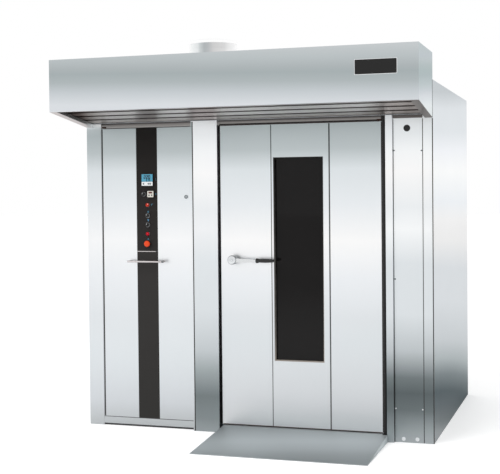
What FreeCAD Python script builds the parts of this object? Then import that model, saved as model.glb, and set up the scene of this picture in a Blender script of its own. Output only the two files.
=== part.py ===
"""Rotating rack oven: insulated body, swinging oven door, service door, steam hood.

Millimetres. X runs to the right seen from the front, Y to the back, Z up.
The origin lies on the floor under the centre of the body.
"""
import FreeCAD, Part
import math
import os
from FreeCAD import Vector

# ---------------------------------------------------------------- sheet and clearances
SHEET = 2.0
PANEL_RETURN = 25.0
FIT_GAP = 2.0
TOUCH = 0.3

# ---------------------------------------------------------------- front, from left to right
LEFT_POST_WIDTH = 100.0
SERVICE_DOOR_WIDTH = 613.0
PILLAR_WIDTH = 170.0
OVEN_DOOR_WIDTH = 1002.0
LATCH_GAP = 13.0
HINGE_GAP = 1.5
RIGHT_POST_WIDTH = 42.0
RIGHT_PANEL_WIDTH = 173.0
CORNER_FLANGE = 59.0
PORT_IN = 82.0
PORT_HEIGHT = 1838.0
PORT_DIAMETER = 40.0
PORT_DEEP = 22.0
POST_PROUD = 25.0
POST_DEPTH = 64.0
LOUVRE_ROWS = 8
LOUVRE_COLUMNS = 2
LOUVRE_LONG = 160.0
LOUVRE_HIGH = 10.0
LOUVRE_PITCH = 34.0
LOUVRE_COLUMN_PITCH = 200.0
LOUVRE_FROM_TOP = 130.0
LOUVRE_FROM_LEFT = 150.0

# ---------------------------------------------------------------- heights
FLOOR_LEVEL = 48.0
FLOOR_PLATE = 4.0
OVEN_DOOR_HEIGHT = 1834.0
SERVICE_DOOR_LOW = 58.0
HEADER_GAP = 4.0
HEADER_LAP = 29.0
KICK_LOW = 13.0
KICK_GAP = 4.0

# ---------------------------------------------------------------- baking chamber
CHAMBER_SIDE = 1322.0
CHAMBER_OVER_DOOR = 108.0
FRAME_DEPTH = 61.0
DOORWAY_SIDE_LAP = 35.0
DOORWAY_TOP_LAP = 32.0
HEAT_SPACE_WIDTH = 598.0
PARTITION_BACK = 200.0
PARTITION_THICK = 60.0
REAR_INSULATION = 150.0
REAR_SPACE = 49.0
TOP_INSULATION = 121.0

# ---------------------------------------------------------------- oven door
DOOR_THICK = 60.0
PLUG_DEEP = 40.0
PLUG_GAP = 14.0
HINGE_TUBE = 21.0
HINGE_AHEAD = 5.0
HINGE_TUBE_LOW = 28.0
HINGE_PIN = 14.0
HINGE_PIN_LONG = 22.0
PIN_RUN = 0.05
BEARING_HIGH = 18.0
BEARING_FRONT = 13.0
BEARING_BACK = 35.0
SEAM_LEFT = 324.0
SEAM_RIGHT = 685.0
SEAM_GAP = 2.0
WINDOW_SIDE = 13.0
WINDOW_RIGHT_SIDE = 38.0
WINDOW_OVER_EDGE = 402.0
WINDOW_UNDER_EDGE = 199.0
GLASS_SET_BACK = 28.0
GLASS_THICK = 6.0
GASKET_THICK = 3.7
GASKET_BAND = 30.0
GASKET_LIP = 6.0

# ---------------------------------------------------------------- door lever and latch
LEVER_INSET = 84.0
LEVER_HEIGHT = 1060.0
LEVER_LONG = 259.0
LEVER_BARE = 128.0
LEVER_STAND_OFF = 48.0
LEVER_THICK = 12.0
LEVER_HUB = 32.0
LEVER_HUB_LONG = 19.0
LEVER_ROOT_HIGH = 28.0
LEVER_TIP_HIGH = 16.0
GRIP_DIAMETER = 26.0
GRIP_WAIST = 24.0
GRIP_ROOT = 21.0
GRIP_TIP = 18.0
GRIP_EASE = 7.0
ROSETTE_DIAMETER = 50.0
ROSETTE_TOP_DIAMETER = 43.0
ROSETTE_HIGH = 12.0
ROSETTE_RIM = 5.0
SPINDLE_DIAMETER = 16.0
TONGUE_LONG = 118.0
TONGUE_WIDE = 18.0
TONGUE_THICK = 6.0
TONGUE_BACK = 30.0
TONGUE_ROUND = 7.0
LATCH_ENTRY_ANGLE = 42.0
SLOT_CLEAR = 3.0
KEEPER_THICK = 3.0
KEEPER_BORDER = 14.0

# ---------------------------------------------------------------- service door
SERVICE_DOOR_THICK = 40.0
SERVICE_PIVOT_IN = 10.0
SERVICE_PIVOT_BACK = 6.0
SERVICE_PIN = 7.0
SERVICE_PIN_LONG = 10.0
STRIP_LEFT = 239.0
STRIP_WIDTH = 140.0
STRIP_SEAM = 1.0
STRIP_UNDER_STOP = 49.0
BAR_LEFT = 180.0
BAR_LONG = 252.0
BAR_HEIGHT = 1047.0
BAR_DIAMETER = 12.0
BAR_STAND_OFF = 45.0
BAR_FOOT_IN = 14.0
BAR_FOOT_DIAMETER = 11.0
BAR_WASHER = 14.0
BAR_ROUND = 2.4

# ---------------------------------------------------------------- controls
CONTROLLER_WIDE = 78.0
CONTROLLER_HIGH = 78.0
CONTROLLER_OVER_TIMER = 88.0
TIMER_WIDE = 48.0
TIMER_HIGH = 48.0
TIMER_OVER_PILOT = 68.0
CONTROL_AXIS = 313.0
TIMER_AXIS = 335.5
KNOB_AXIS = 287.0
BEZEL_PROUD = 9.0
BEZEL_LIP = 4.0
HOUSING_DEEP = 52.0
PILOT_DIAMETER = 22.0
PILOT_OVER_SELECTOR = 67.0
SELECTOR_PITCH = 58.0
SELECTOR_OVER_PILOT = 56.0
PILOT_OVER_STOP = 62.0
STOP_HEIGHT = 1157.0
SWITCH_BEZEL = 29.0
SWITCH_BODY_DEEP = 42.0
LENS_DIAMETER = 18.5
LENS_DOME = 3.5
KNOB_DIAMETER = 23.0
KNOB_HIGH = 16.0
KNOB_SKIRT = 5.0
KNOB_TAPER = 2.5
KNOB_EASE = 1.5
RIDGE_WIDE = 5.0
RIDGE_PROUD = 4.0
KNOB_SHAFT = 6.0
TIMER_KNOB_DIAMETER = 26.0
STOP_HEAD_DIAMETER = 40.0
STOP_HEAD_HIGH = 16.0
STOP_NECK_DIAMETER = 32.0
STOP_BRIM = 4.0
STOP_TRAVEL = 6.0
STOP_STEM = 12.0
LOCK_IN = 41.0
LOCK_HEIGHT = 1449.0
LOCK_DIAMETER = 24.0
LOCK_SHAFT = 17.0
LOCK_SLOT = 14.0
LOCK_CAM_LONG = 38.0
LOCK_CAM_WIDE = 16.0
LOCK_TAB_LONG = 20.0
LOCK_TAB_BACK = 46.0
CAM_ROUND = 6.5

# ---------------------------------------------------------------- hood
HOOD_DEPTH = 495.0
HOOD_OVER_ROOF = 155.0
FASCIA_HIGH = 310.0
HOOD_FALL = 65.0
HOOD_LEDGE = 46.0
HOOD_UPSTAND = 22.0
HOOD_LIP = 22.0
SLAT_COUNT = 4
SLAT_GAP = 14.0
SLAT_FOLD = 18.0
SLAT_LAP = 10.0
SPIGOT_DIAMETER = 280.0
SPIGOT_HIGH = 89.0
SPIGOT_FROM_LEFT = 950.0
SPIGOT_AHEAD = 250.0
SPIGOT_WALL = 2.0
SPIGOT_FLANGE = 22.0
SPIGOT_BEAD = 3.0

# ---------------------------------------------------------------- ramp
RAMP_IN_LEFT = 10.0
RAMP_OVER_RIGHT = 28.0
RAMP_LONG = 608.0
RAMP_RISE = 45.0
RAMP_NOSE = 4.0
RAMP_PLATE = 4.0
RAMP_RIB = 5.0
RAMP_RIB_COUNT = 4

# ---------------------------------------------------------------- rotation
SHAFT_DIAMETER = 40.0
CARRIER_UNDER_CEILING = 90.0
CARRIER_HUB = 120.0
CARRIER_HUB_HIGH = 24.0
ARM_LONG = 700.0
ARM_WIDE = 90.0
ARM_HIGH = 14.0
HOOK_SPREAD = 620.0
HOOK_LONG = 520.0
HOOK_DROP = 78.0
HOOK_LIP = 38.0
HOOK_THICK = 8.0
CARRIER_HUB_RIM = 14.0
CARRIER_HUB_TOP = 56.0
ARM_CORNER = 22.0
BEARING_SLEEVE = 64.0
COLLAR_DIAMETER = 52.0
COLLAR_HIGH = 6.0
BEARING_FLANGE = 130.0
BEARING_FLANGE_HIGH = 12.0
GEARBOX_SIDE = 170.0
GEARBOX_HIGH = 110.0
GEARBOX_CORNER = 20.0
GEARBOX_SHAFT_IN = 66.0
GEARMOTOR_AXIS = 60.5
GEARMOTOR_DIAMETER = 120.0
GEARMOTOR_CORE = 103.0
GEARMOTOR_NECK = 96.0
GEARMOTOR_NECK_LONG = 13.0
GEARMOTOR_LONG = 210.0
GEARMOTOR_SHIELD = 31.5
GEARMOTOR_FINS = 20
GEARMOTOR_FIN_THICK = 3.0

# ---------------------------------------------------------------- air circulation and heat
FAN_DIAMETER = 440.0
FAN_EYE = 280.0
FAN_HIGH = 120.0
FAN_UNDER_CEILING = 200.0
FAN_BLADES = 9
FAN_SHEET = 3.0
FAN_SHROUD_RISE = 21.6
FAN_HUB = 60.0
FAN_HUB_HIGH = 54.0
FAN_SHAFT = 24.0
FAN_SHAFT_IN_MOTOR = 142.5
BLADE_IN = 11.0
BLADE_LEAN = 35.0
INLET_RING_TAPER = 14.4
FAN_MOTOR_DIAMETER = 190.0
FAN_MOTOR_CORE = 167.0
FAN_MOTOR_HIGH = 190.0
FAN_MOTOR_FLANGE = 16.0
FAN_MOTOR_PLATE = 320.0
FAN_MOTOR_PLATE_THICK = 6.0
FAN_MOTOR_CORNER = 10.0
FAN_COWL_DIAMETER = 175.0
FAN_COWL_TOP = 145.0
FAN_COWL_HIGH = 38.0
FAN_COWL_RIM = 27.0
FAN_COWL_LAP = 19.0
FIN_COUNT = 16
FIN_THICK = 4.0
INLET_PLATE_UNDER_CEILING = 250.0
DUCT_DEEP = 78.0
DUCT_FROM_REAR = 62.0
DUCT_WIDE = 500.0
DUCT_LOW = 60.0
SLOT_LONG = 180.0
SLOT_HIGH = 14.0
SLOT_PITCH = 112.0
SLOT_FIRST = 190.0
GRILLE_LONG = 430.0
GRILLE_HIGH = 26.0
GRILLE_PITCH = 60.0
GRILLE_ROWS = 11
GRILLE_FIRST = 150.0
ROD_DIAMETER = 14.0
ROD_BEND = 45.0
ROD_LONG = 430.0
ROD_COLUMNS = 2
ROD_ROWS = 4
ROD_FIRST = 420.0
ROD_ROW_PITCH = 260.0
ROD_COLUMN_PITCH = 190.0
HEATER_PLATE_BORDER = 60.0
CASCADE_WIDE = 230.0
CASCADE_LONG = 320.0
CASCADE_LEVELS = 7
CASCADE_PITCH = 150.0
TROUGH_WIDE = 150.0
TROUGH_HIGH = 50.0
CASCADE_WALL = 6.0

# ---------------------------------------------------------------- steam outlet
VENT_DIAMETER = 150.0
VENT_WALL = 1.5
VENT_FLANGE = 25.0
VENT_STUB = 60.0
VENT_BEAD = 3.0
VENT_FROM_SIDE = 242.0
VENT_FROM_REAR = 192.0
VENT_OVER_ROOF = 180.0
DAMPER_UNDER_RIM = 80.0
DAMPER_THICK = 3.0
DAMPER_GAP = 1.5
DAMPER_SHAFT = 8.0
DAMPER_ARM = 60.0

# ---------------------------------------------------------------- electrics
CONTACTOR_COUNT = 4
CONTACTOR_WIDE = 55.0
CONTACTOR_HIGH = 90.0
CONTACTOR_DEEP = 85.0
CONTACTOR_BASE_DEEP = 59.5
CONTACTOR_NOSE_SIDE = 6.6
CONTACTOR_NOSE_END = 22.5
CONTACTOR_PITCH = 75.0
RAIL_HEIGHT = 1300.0
RAIL_HIGH = 35.0
RAIL_DEEP = 8.0
RAIL_LONG = 420.0
RAIL_PITCH = 180.0
ELECTRIC_PLATE_HIGH = 520.0

# ---------------------------------------------------------------- places worked out from the sizes
SERVICE_SIDE_WIDTH = LEFT_POST_WIDTH + FIT_GAP + SERVICE_DOOR_WIDTH + FIT_GAP + PILLAR_WIDTH
OVEN_SIDE_WIDTH = LATCH_GAP + OVEN_DOOR_WIDTH + HINGE_GAP + HINGE_TUBE + HINGE_GAP
BODY_WIDTH = SERVICE_SIDE_WIDTH + OVEN_SIDE_WIDTH + RIGHT_POST_WIDTH + RIGHT_PANEL_WIDTH + CORNER_FLANGE
BODY_DEPTH = POST_DEPTH + FRAME_DEPTH + CHAMBER_SIDE + SHEET + REAR_INSULATION + REAR_SPACE + SHEET
DOOR_TOP = FLOOR_LEVEL + OVEN_DOOR_HEIGHT
CHAMBER_TOP = DOOR_TOP + CHAMBER_OVER_DOOR
BODY_HEIGHT = CHAMBER_TOP + SHEET + TOP_INSULATION + SHEET
LEFT_X = -BODY_WIDTH / 2
RIGHT_X = BODY_WIDTH / 2
FRONT_Y = -BODY_DEPTH / 2
BACK_Y = BODY_DEPTH / 2
POST_BACK_Y = FRONT_Y + POST_DEPTH
LEFT_POST_EDGE = LEFT_X + LEFT_POST_WIDTH
SERVICE_LEFT = LEFT_POST_EDGE + FIT_GAP
SERVICE_RIGHT = SERVICE_LEFT + SERVICE_DOOR_WIDTH
PILLAR_LEFT = SERVICE_RIGHT + FIT_GAP
PILLAR_RIGHT = PILLAR_LEFT + PILLAR_WIDTH
DOOR_LEFT = PILLAR_RIGHT + LATCH_GAP
DOOR_RIGHT = DOOR_LEFT + OVEN_DOOR_WIDTH
HINGE_X = DOOR_RIGHT + HINGE_GAP + HINGE_TUBE / 2
HINGE_Y = FRONT_Y - HINGE_AHEAD
RIGHT_POST_LEFT = HINGE_X + HINGE_TUBE / 2 + HINGE_GAP
RIGHT_POST_RIGHT = RIGHT_POST_LEFT + RIGHT_POST_WIDTH
CORNER_LEFT = RIGHT_X - CORNER_FLANGE
HEADER_LOW = DOOR_TOP + HEADER_GAP
POST_HEIGHT = HEADER_LOW + HEADER_LAP
HEADER_SPLIT = POST_HEIGHT + FIT_GAP
KICK_TOP = SERVICE_DOOR_LOW - KICK_GAP
BASE_TOP = FLOOR_LEVEL - FLOOR_PLATE
DOOR_BACK_Y = FRONT_Y + DOOR_THICK
FRAME_FRONT_Y = POST_BACK_Y
FRAME_BACK_Y = FRAME_FRONT_Y + FRAME_DEPTH
CHAMBER_X = (DOOR_LEFT + DOOR_RIGHT) / 2
CHAMBER_LEFT = CHAMBER_X - CHAMBER_SIDE / 2
CHAMBER_RIGHT = CHAMBER_X + CHAMBER_SIDE / 2
CHAMBER_Y = FRAME_BACK_Y + CHAMBER_SIDE / 2
CHAMBER_BACK_Y = FRAME_BACK_Y + CHAMBER_SIDE
DUCT_WALL_LEFT = CHAMBER_LEFT - SHEET
HEAT_LEFT = DUCT_WALL_LEFT - HEAT_SPACE_WIDTH
HEAT_X = (HEAT_LEFT + DUCT_WALL_LEFT) / 2
PARTITION_FRONT_Y = POST_BACK_Y + PARTITION_BACK
HEAT_FRONT_Y = PARTITION_FRONT_Y + PARTITION_THICK
HEAT_Y = (HEAT_FRONT_Y + CHAMBER_BACK_Y) / 2
ROOF_LOW = BODY_HEIGHT - SHEET
DOORWAY_LEFT = DOOR_LEFT + DOORWAY_SIDE_LAP
DOORWAY_RIGHT = DOOR_RIGHT - DOORWAY_SIDE_LAP
DOORWAY_TOP = DOOR_TOP - DOORWAY_TOP_LAP
FRAME_LEFT = PILLAR_LEFT
FRAME_RIGHT = CHAMBER_RIGHT + SHEET
LEVER_X = DOOR_LEFT + LEVER_INSET
STRIP_X = SERVICE_LEFT + STRIP_LEFT
CONTROL_X = SERVICE_LEFT + CONTROL_AXIS
STRIP_SPLIT = STOP_HEIGHT - STRIP_UNDER_STOP
LOWER_PILOT_HEIGHT = STOP_HEIGHT + PILOT_OVER_STOP
SELECTOR_LOWER_HEIGHT = LOWER_PILOT_HEIGHT + SELECTOR_OVER_PILOT
SELECTOR_UPPER_HEIGHT = SELECTOR_LOWER_HEIGHT + SELECTOR_PITCH
UPPER_PILOT_HEIGHT = SELECTOR_UPPER_HEIGHT + PILOT_OVER_SELECTOR
TIMER_MIDDLE = UPPER_PILOT_HEIGHT + TIMER_OVER_PILOT
CONTROLLER_MIDDLE = TIMER_MIDDLE + CONTROLLER_OVER_TIMER
SERVICE_PIVOT_X = SERVICE_LEFT + SERVICE_PIVOT_IN
SERVICE_PIVOT_Y = FRONT_Y + SERVICE_PIVOT_BACK
SERVICE_BACK_Y = FRONT_Y + SERVICE_DOOR_THICK
HOOD_FRONT_Y = FRONT_Y - HOOD_DEPTH
HOOD_TOP = BODY_HEIGHT + HOOD_OVER_ROOF
FASCIA_LOW = HOOD_TOP - FASCIA_HIGH
HOOD_REAR_LOW = FASCIA_LOW - HOOD_FALL
SPIGOT_X = LEFT_X + SPIGOT_FROM_LEFT
SPIGOT_Y = FRONT_Y - SPIGOT_AHEAD
RAMP_LEFT = DOOR_LEFT + RAMP_IN_LEFT
RAMP_RIGHT = DOOR_RIGHT + RAMP_OVER_RIGHT
CARRIER_TOP = CHAMBER_TOP - CARRIER_UNDER_CEILING
FAN_LOW = CHAMBER_TOP - FAN_UNDER_CEILING
INLET_PLATE_HEIGHT = CHAMBER_TOP - INLET_PLATE_UNDER_CEILING
VENT_X = CHAMBER_RIGHT - VENT_FROM_SIDE
VENT_Y = CHAMBER_BACK_Y - VENT_FROM_REAR
VENT_TOP = BODY_HEIGHT + VENT_OVER_ROOF
DAMPER_HEIGHT = VENT_TOP - DAMPER_UNDER_RIM
WINDOW_LOW = FLOOR_LEVEL + WINDOW_OVER_EDGE
WINDOW_HIGH = DOOR_TOP - WINDOW_UNDER_EDGE
WINDOW_LEFT = DOOR_LEFT + SEAM_LEFT + WINDOW_SIDE
WINDOW_RIGHT = DOOR_LEFT + SEAM_RIGHT - WINDOW_RIGHT_SIDE
UP = Vector(0, 0, 1)
FORWARD = Vector(0, -1, 0)
BACKWARD = Vector(0, 1, 0)
RIGHTWARD = Vector(1, 0, 0)


# ---------------------------------------------------------------- shape helpers
def block(x_span, y_span, z_span):
    """A box between three pairs of coordinates."""
    low = Vector(x_span[0], y_span[0], z_span[0])
    return Part.makeBox(x_span[1] - x_span[0], y_span[1] - y_span[0], z_span[1] - z_span[0], low)


def rod(start, direction, diameter, length):
    """A round bar from a start point along a direction."""
    return Part.makeCylinder(diameter / 2, length, start, direction)


def prism(points, travel):
    """A flat polygon carried along a straight travel."""
    return Part.Face(Part.makePolygon(points + points[:1])).extrude(travel)


def turned(profile, centre):
    """A profile of (radius, height) points turned once about the upright axis through centre."""
    points = [Vector(radius, 0, height) for radius, height in profile]
    solid = Part.Face(Part.makePolygon(points + points[:1])).revolve(Vector(0, 0, 0), UP, 360)
    return solid.translated(centre)


def turned_along(profile, start, direction):
    """A profile of (radius, length) points turned once about a line from start."""
    solid = turned(profile, Vector(0, 0, 0))
    solid.Placement = FreeCAD.Placement(start, FreeCAD.Rotation(UP, direction))
    return solid


def grown(span, amount):
    """A coordinate pair moved outwards at both ends."""
    return (span[0] - amount, span[1] + amount)


def along_edges(shape, direction):
    """The straight edges of a shape that run along a direction."""
    found = []
    for edge in shape.Edges:
        chord = edge.lastVertex().Point.sub(edge.firstVertex().Point)
        if chord.Length > 0 and abs(chord.normalize().dot(direction)) > 0.999:
            found.append(edge)
    return found


def soft_block(x_span, y_span, z_span, radius, direction):
    """A box whose edges along one direction are rounded."""
    box = block(x_span, y_span, z_span)
    return box.makeFillet(radius, along_edges(box, direction))


def save(name, shape):
    """Write one named piece."""
    if len(shape.Solids) == 1:
        shape = shape.Solids[0]
    else:
        shape = Part.makeCompound(shape.Solids)
    shape.exportStep("parts/" + name + ".step")


def group(shapes):
    """Several separate solids kept together."""
    return Part.makeCompound(shapes)


# ---------------------------------------------------------------- base, ramp and casing
def base_tray():
    """Folded floor tray that carries the walls and holds the floor insulation."""
    x_span = (LEFT_X + SHEET, RIGHT_X - SHEET)
    y_span = (POST_BACK_Y, BACK_Y - SHEET)
    tray = block(x_span, y_span, (0, BASE_TOP))
    hollow = block(grown(x_span, -SHEET), grown(y_span, -SHEET), (SHEET, BASE_TOP + SHEET))
    return tray.cut(hollow)


def ramp_section(drop, front_in):
    """Side outline of the ramp, its top lowered and its nose set in."""
    nose_y = FRONT_Y - RAMP_LONG + front_in
    top = RAMP_RISE - drop
    nose = max(RAMP_NOSE - drop, 0)
    outline = [Vector(0, nose_y, 0)]
    if nose > 0:
        outline.append(Vector(0, nose_y, nose))
    outline += [Vector(0, FRONT_Y, top), Vector(0, POST_BACK_Y, top), Vector(0, POST_BACK_Y, 0)]
    return outline


def ramp():
    """Sheet ramp with a landing under the door, side skirts and ribs beneath."""
    corner = Vector(RAMP_LEFT, 0, 0)
    wide = RAMP_RIGHT - RAMP_LEFT
    solid = prism(ramp_section(0, 0), Vector(wide, 0, 0)).translated(corner)
    nose_in = RAMP_PLATE * RAMP_LONG / (RAMP_RISE - RAMP_NOSE)
    bay = (wide - RAMP_RIB) / (RAMP_RIB_COUNT + 1)
    hollow = prism(ramp_section(RAMP_PLATE, nose_in), Vector(bay - RAMP_RIB, 0, 0))
    for index in range(RAMP_RIB_COUNT + 1):
        solid = solid.cut(hollow.translated(corner + Vector(RAMP_RIB + index * bay, 0, 0)))
    hinge_corner = block((DOOR_RIGHT - FIT_GAP, RAMP_RIGHT + FIT_GAP),
                         (FRONT_Y - POST_PROUD - FIT_GAP, POST_BACK_Y + FIT_GAP),
                         (-FIT_GAP, RAMP_RISE + FIT_GAP))
    return solid.cut(hinge_corner)


def side_panel(side):
    """One body side: sheet with folded returns; side is -1 left or +1 right."""
    outer = RIGHT_X * side
    inner = outer - SHEET * side
    x_span = (min(outer, inner), max(outer, inner))
    front = POST_BACK_Y if side < 0 else FRONT_Y
    back_return = sorted((outer, outer - PANEL_RETURN * side))
    panel = block(x_span, (front, BACK_Y), (0, BODY_HEIGHT))
    panel = panel.fuse(block(back_return, (BACK_Y - SHEET, BACK_Y), (0, BODY_HEIGHT)))
    if side > 0:
        panel = panel.fuse(block((CORNER_LEFT, RIGHT_X), (FRONT_Y, FRONT_Y + SHEET), (0, BODY_HEIGHT)))
        edge = block((CORNER_LEFT, CORNER_LEFT + SHEET), (FRONT_Y, FRONT_Y + PANEL_RETURN), (0, POST_HEIGHT))
        panel = panel.fuse(edge)
    else:
        panel = panel.fuse(block(x_span, (FRONT_Y, POST_BACK_Y), (HEADER_SPLIT, BODY_HEIGHT)))
    return panel.removeSplitter()


def rear_panel():
    """Back sheet between the side returns, with a louvred field beside the heat space."""
    x_span = (LEFT_X + PANEL_RETURN + FIT_GAP, RIGHT_X - PANEL_RETURN - FIT_GAP)
    panel = block(x_span, (BACK_Y - SHEET, BACK_Y), (BASE_TOP, ROOF_LOW))
    louvres = []
    for row in range(LOUVRE_ROWS):
        high = ROOF_LOW - LOUVRE_FROM_TOP - row * LOUVRE_PITCH
        for column in range(LOUVRE_COLUMNS):
            left = LEFT_X + LOUVRE_FROM_LEFT + column * LOUVRE_COLUMN_PITCH
            louvres.append(block((left, left + LOUVRE_LONG), (BACK_Y - SHEET, BACK_Y),
                                 (high - LOUVRE_HIGH, high)))
    return panel.cut(louvres)


def roof_panel():
    """Top sheet with holes for the bearing sleeve, the fan shaft and the steam outlet."""
    x_span = (LEFT_X + SHEET, RIGHT_X - SHEET)
    panel = block(x_span, (FRONT_Y + SHEET, BACK_Y - SHEET), (ROOF_LOW, BODY_HEIGHT))
    for x, y, diameter in roof_holes():
        panel = panel.cut(rod(Vector(x, y, ROOF_LOW), UP, diameter + TOUCH * 2, SHEET))
    return panel


def roof_holes():
    """Centre and diameter of what passes up through the roof."""
    return ((CHAMBER_X, CHAMBER_Y, BEARING_SLEEVE),
            (HEAT_X, HEAT_Y, FAN_SHAFT + FIT_GAP),
            (VENT_X, VENT_Y, VENT_DIAMETER))


def left_post():
    """Closed post at the left front corner."""
    return box_tube((LEFT_X, LEFT_POST_EDGE), (FRONT_Y, POST_BACK_Y))


def box_tube(x_span, y_span):
    """Square-cornered hollow post standing on the floor."""
    outer = soft_block(x_span, y_span, (0, POST_HEIGHT), SHEET, UP)
    hollow = block(grown(x_span, -SHEET), grown(y_span, -SHEET), (-SHEET, POST_HEIGHT - SHEET))
    return outer.cut(hollow)


def latch_slot(x_span):
    """Space that the latch tongue turns through, along a span of X."""
    y_low = FRONT_Y + TONGUE_BACK - SLOT_CLEAR
    y_high = FRONT_Y + TONGUE_BACK + TONGUE_THICK + SLOT_CLEAR
    z_low = LEVER_HEIGHT - TONGUE_LONG * math.cos(math.radians(LATCH_ENTRY_ANGLE)) - SLOT_CLEAR
    z_high = LEVER_HEIGHT + TONGUE_WIDE / 2 + SLOT_CLEAR
    return block(x_span, (y_low, y_high), (z_low, z_high))


def middle_pillar():
    """Pillar between the doors, with the latch slot and the welded tab for the service lock."""
    pillar = box_tube((PILLAR_LEFT, PILLAR_RIGHT), (FRONT_Y - POST_PROUD, POST_BACK_Y))
    pillar = pillar.cut(latch_slot((PILLAR_RIGHT - SHEET * 2, PILLAR_RIGHT + SHEET)))
    tab_low = FRONT_Y + LOCK_TAB_BACK
    tab = block((PILLAR_LEFT - LOCK_TAB_LONG, PILLAR_LEFT), (tab_low, tab_low + SHEET),
                (LOCK_HEIGHT - LOCK_CAM_WIDE, LOCK_HEIGHT + LOCK_CAM_WIDE))
    return pillar.fuse(tab)


def latch_keeper():
    """Hardened plate around the latch slot on the pillar's side."""
    slot = latch_slot((PILLAR_RIGHT, PILLAR_RIGHT + KEEPER_THICK))
    box = slot.BoundBox
    plate = soft_block((box.XMin, box.XMax), (box.YMin - KEEPER_BORDER, box.YMax + KEEPER_BORDER),
                       (box.ZMin - KEEPER_BORDER, box.ZMax + KEEPER_BORDER), SHEET * 2, RIGHTWARD)
    return plate.cut(slot)


def right_post():
    """Narrow post that carries the door hinge."""
    return box_tube((RIGHT_POST_LEFT, RIGHT_POST_RIGHT), (FRONT_Y - POST_PROUD, POST_BACK_Y))


def right_front_panel():
    """Front cassette right of the door, with a round pressed port cup."""
    x_span = (RIGHT_POST_RIGHT, CORNER_LEFT)
    outer = block(x_span, (FRONT_Y, FRONT_Y + PANEL_RETURN), (0, POST_HEIGHT))
    hollow = block(grown(x_span, -SHEET), (FRONT_Y + SHEET, FRONT_Y + PANEL_RETURN + SHEET),
                   (SHEET, POST_HEIGHT - SHEET))
    mouth = Vector(RIGHT_POST_RIGHT + PORT_IN, FRONT_Y, PORT_HEIGHT)
    cup = rod(mouth, BACKWARD, PORT_DIAMETER + 2 * SHEET, PORT_DEEP)
    return outer.cut(hollow).fuse(cup).cut(rod(mouth, BACKWARD, PORT_DIAMETER, PORT_DEEP - SHEET))


def front_header():
    """Folded sheet over the doors, with the seat for the service door's upper pin."""
    service = (SERVICE_LEFT, SERVICE_RIGHT)
    oven = (PILLAR_RIGHT, DOOR_RIGHT - FIT_GAP)
    y_span = (FRONT_Y, FRONT_Y + SHEET)
    wide = (LEFT_X + SHEET, CORNER_LEFT)
    sheet = block(wide, y_span, (HEADER_SPLIT, ROOF_LOW))
    shelf = block(wide, (FRONT_Y, POST_BACK_Y), (HEADER_SPLIT, HEADER_SPLIT + SHEET))
    sheet = sheet.fuse(shelf)
    for x_span in (service, oven):
        sheet = sheet.fuse(block(x_span, y_span, (HEADER_LOW, HEADER_SPLIT)))
        sheet = sheet.fuse(block(x_span, (FRONT_Y, POST_BACK_Y), (HEADER_LOW, HEADER_LOW + SHEET)))
    pin_seat = rod(Vector(SERVICE_PIVOT_X, SERVICE_PIVOT_Y, HEADER_LOW), UP, SERVICE_PIN + 2 * PIN_RUN, SHEET)
    return sheet.cut(pin_seat).removeSplitter()


def kick_plate():
    """Folded plinth under the service door, with the seat for its lower pin."""
    x_span = (LEFT_POST_EDGE, PILLAR_LEFT)
    face = block(x_span, (FRONT_Y, FRONT_Y + SHEET), (KICK_LOW, KICK_TOP))
    shelf = block(x_span, (FRONT_Y, POST_BACK_Y), (KICK_TOP - SHEET, KICK_TOP))
    back = block(x_span, (POST_BACK_Y - SHEET, POST_BACK_Y), (KICK_LOW, KICK_TOP))
    seat = Vector(SERVICE_PIVOT_X, SERVICE_PIVOT_Y, KICK_TOP - SHEET)
    plate = face.fuse([shelf, back]).removeSplitter()
    return plate.cut(rod(seat, UP, SERVICE_PIN + 2 * PIN_RUN, SHEET))


def door_bearings():
    """Upper and lower bearing blocks of the door hinge, bolted to the right post."""
    blocks = []
    lower = (HINGE_TUBE_LOW - FIT_GAP - BEARING_HIGH, HINGE_TUBE_LOW - FIT_GAP)
    upper = (HEADER_LOW + FIT_GAP, HEADER_LOW + FIT_GAP + BEARING_HIGH)
    for z_span in (lower, upper):
        body = soft_block((DOOR_RIGHT - FIT_GAP + TOUCH * 2, RIGHT_POST_LEFT),
                          (HINGE_Y - BEARING_FRONT, HINGE_Y + BEARING_BACK), z_span, HINGE_GAP, UP)
        hole = rod(Vector(HINGE_X, HINGE_Y, z_span[0]), UP, HINGE_PIN + 2 * PIN_RUN, BEARING_HIGH)
        blocks.append(body.cut(hole))
    return group(blocks)


# ---------------------------------------------------------------- chamber
def chamber_floor():
    """Floor plate of the chamber and the heat space."""
    return block((HEAT_LEFT - SHEET, CHAMBER_RIGHT + SHEET), (POST_BACK_Y, CHAMBER_BACK_Y + SHEET),
                 (BASE_TOP, FLOOR_LEVEL))


def chamber_right_wall():
    """Right wall sheet of the chamber."""
    return block((CHAMBER_RIGHT, CHAMBER_RIGHT + SHEET), (FRAME_BACK_Y, CHAMBER_BACK_Y),
                 (FLOOR_LEVEL, CHAMBER_TOP))


def heat_space_wall():
    """Left wall sheet of the heat space."""
    return block((HEAT_LEFT - SHEET, HEAT_LEFT), (HEAT_FRONT_Y, CHAMBER_BACK_Y), (FLOOR_LEVEL, CHAMBER_TOP))


def chamber_rear_wall():
    """Rear wall sheet of the chamber and the heat space."""
    return block((HEAT_LEFT - SHEET, CHAMBER_RIGHT + SHEET), (CHAMBER_BACK_Y, CHAMBER_BACK_Y + SHEET),
                 (FLOOR_LEVEL, CHAMBER_TOP))


def chamber_ceiling():
    """Ceiling sheet with the holes for shafts and steam."""
    sheet = block((HEAT_LEFT - SHEET, CHAMBER_RIGHT + SHEET), (FRAME_FRONT_Y, CHAMBER_BACK_Y + SHEET),
                  (CHAMBER_TOP, CHAMBER_TOP + SHEET))
    for x, y, diameter in roof_holes():
        sheet = sheet.cut(rod(Vector(x, y, CHAMBER_TOP), UP, diameter + TOUCH * 2, SHEET))
    return sheet


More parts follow.
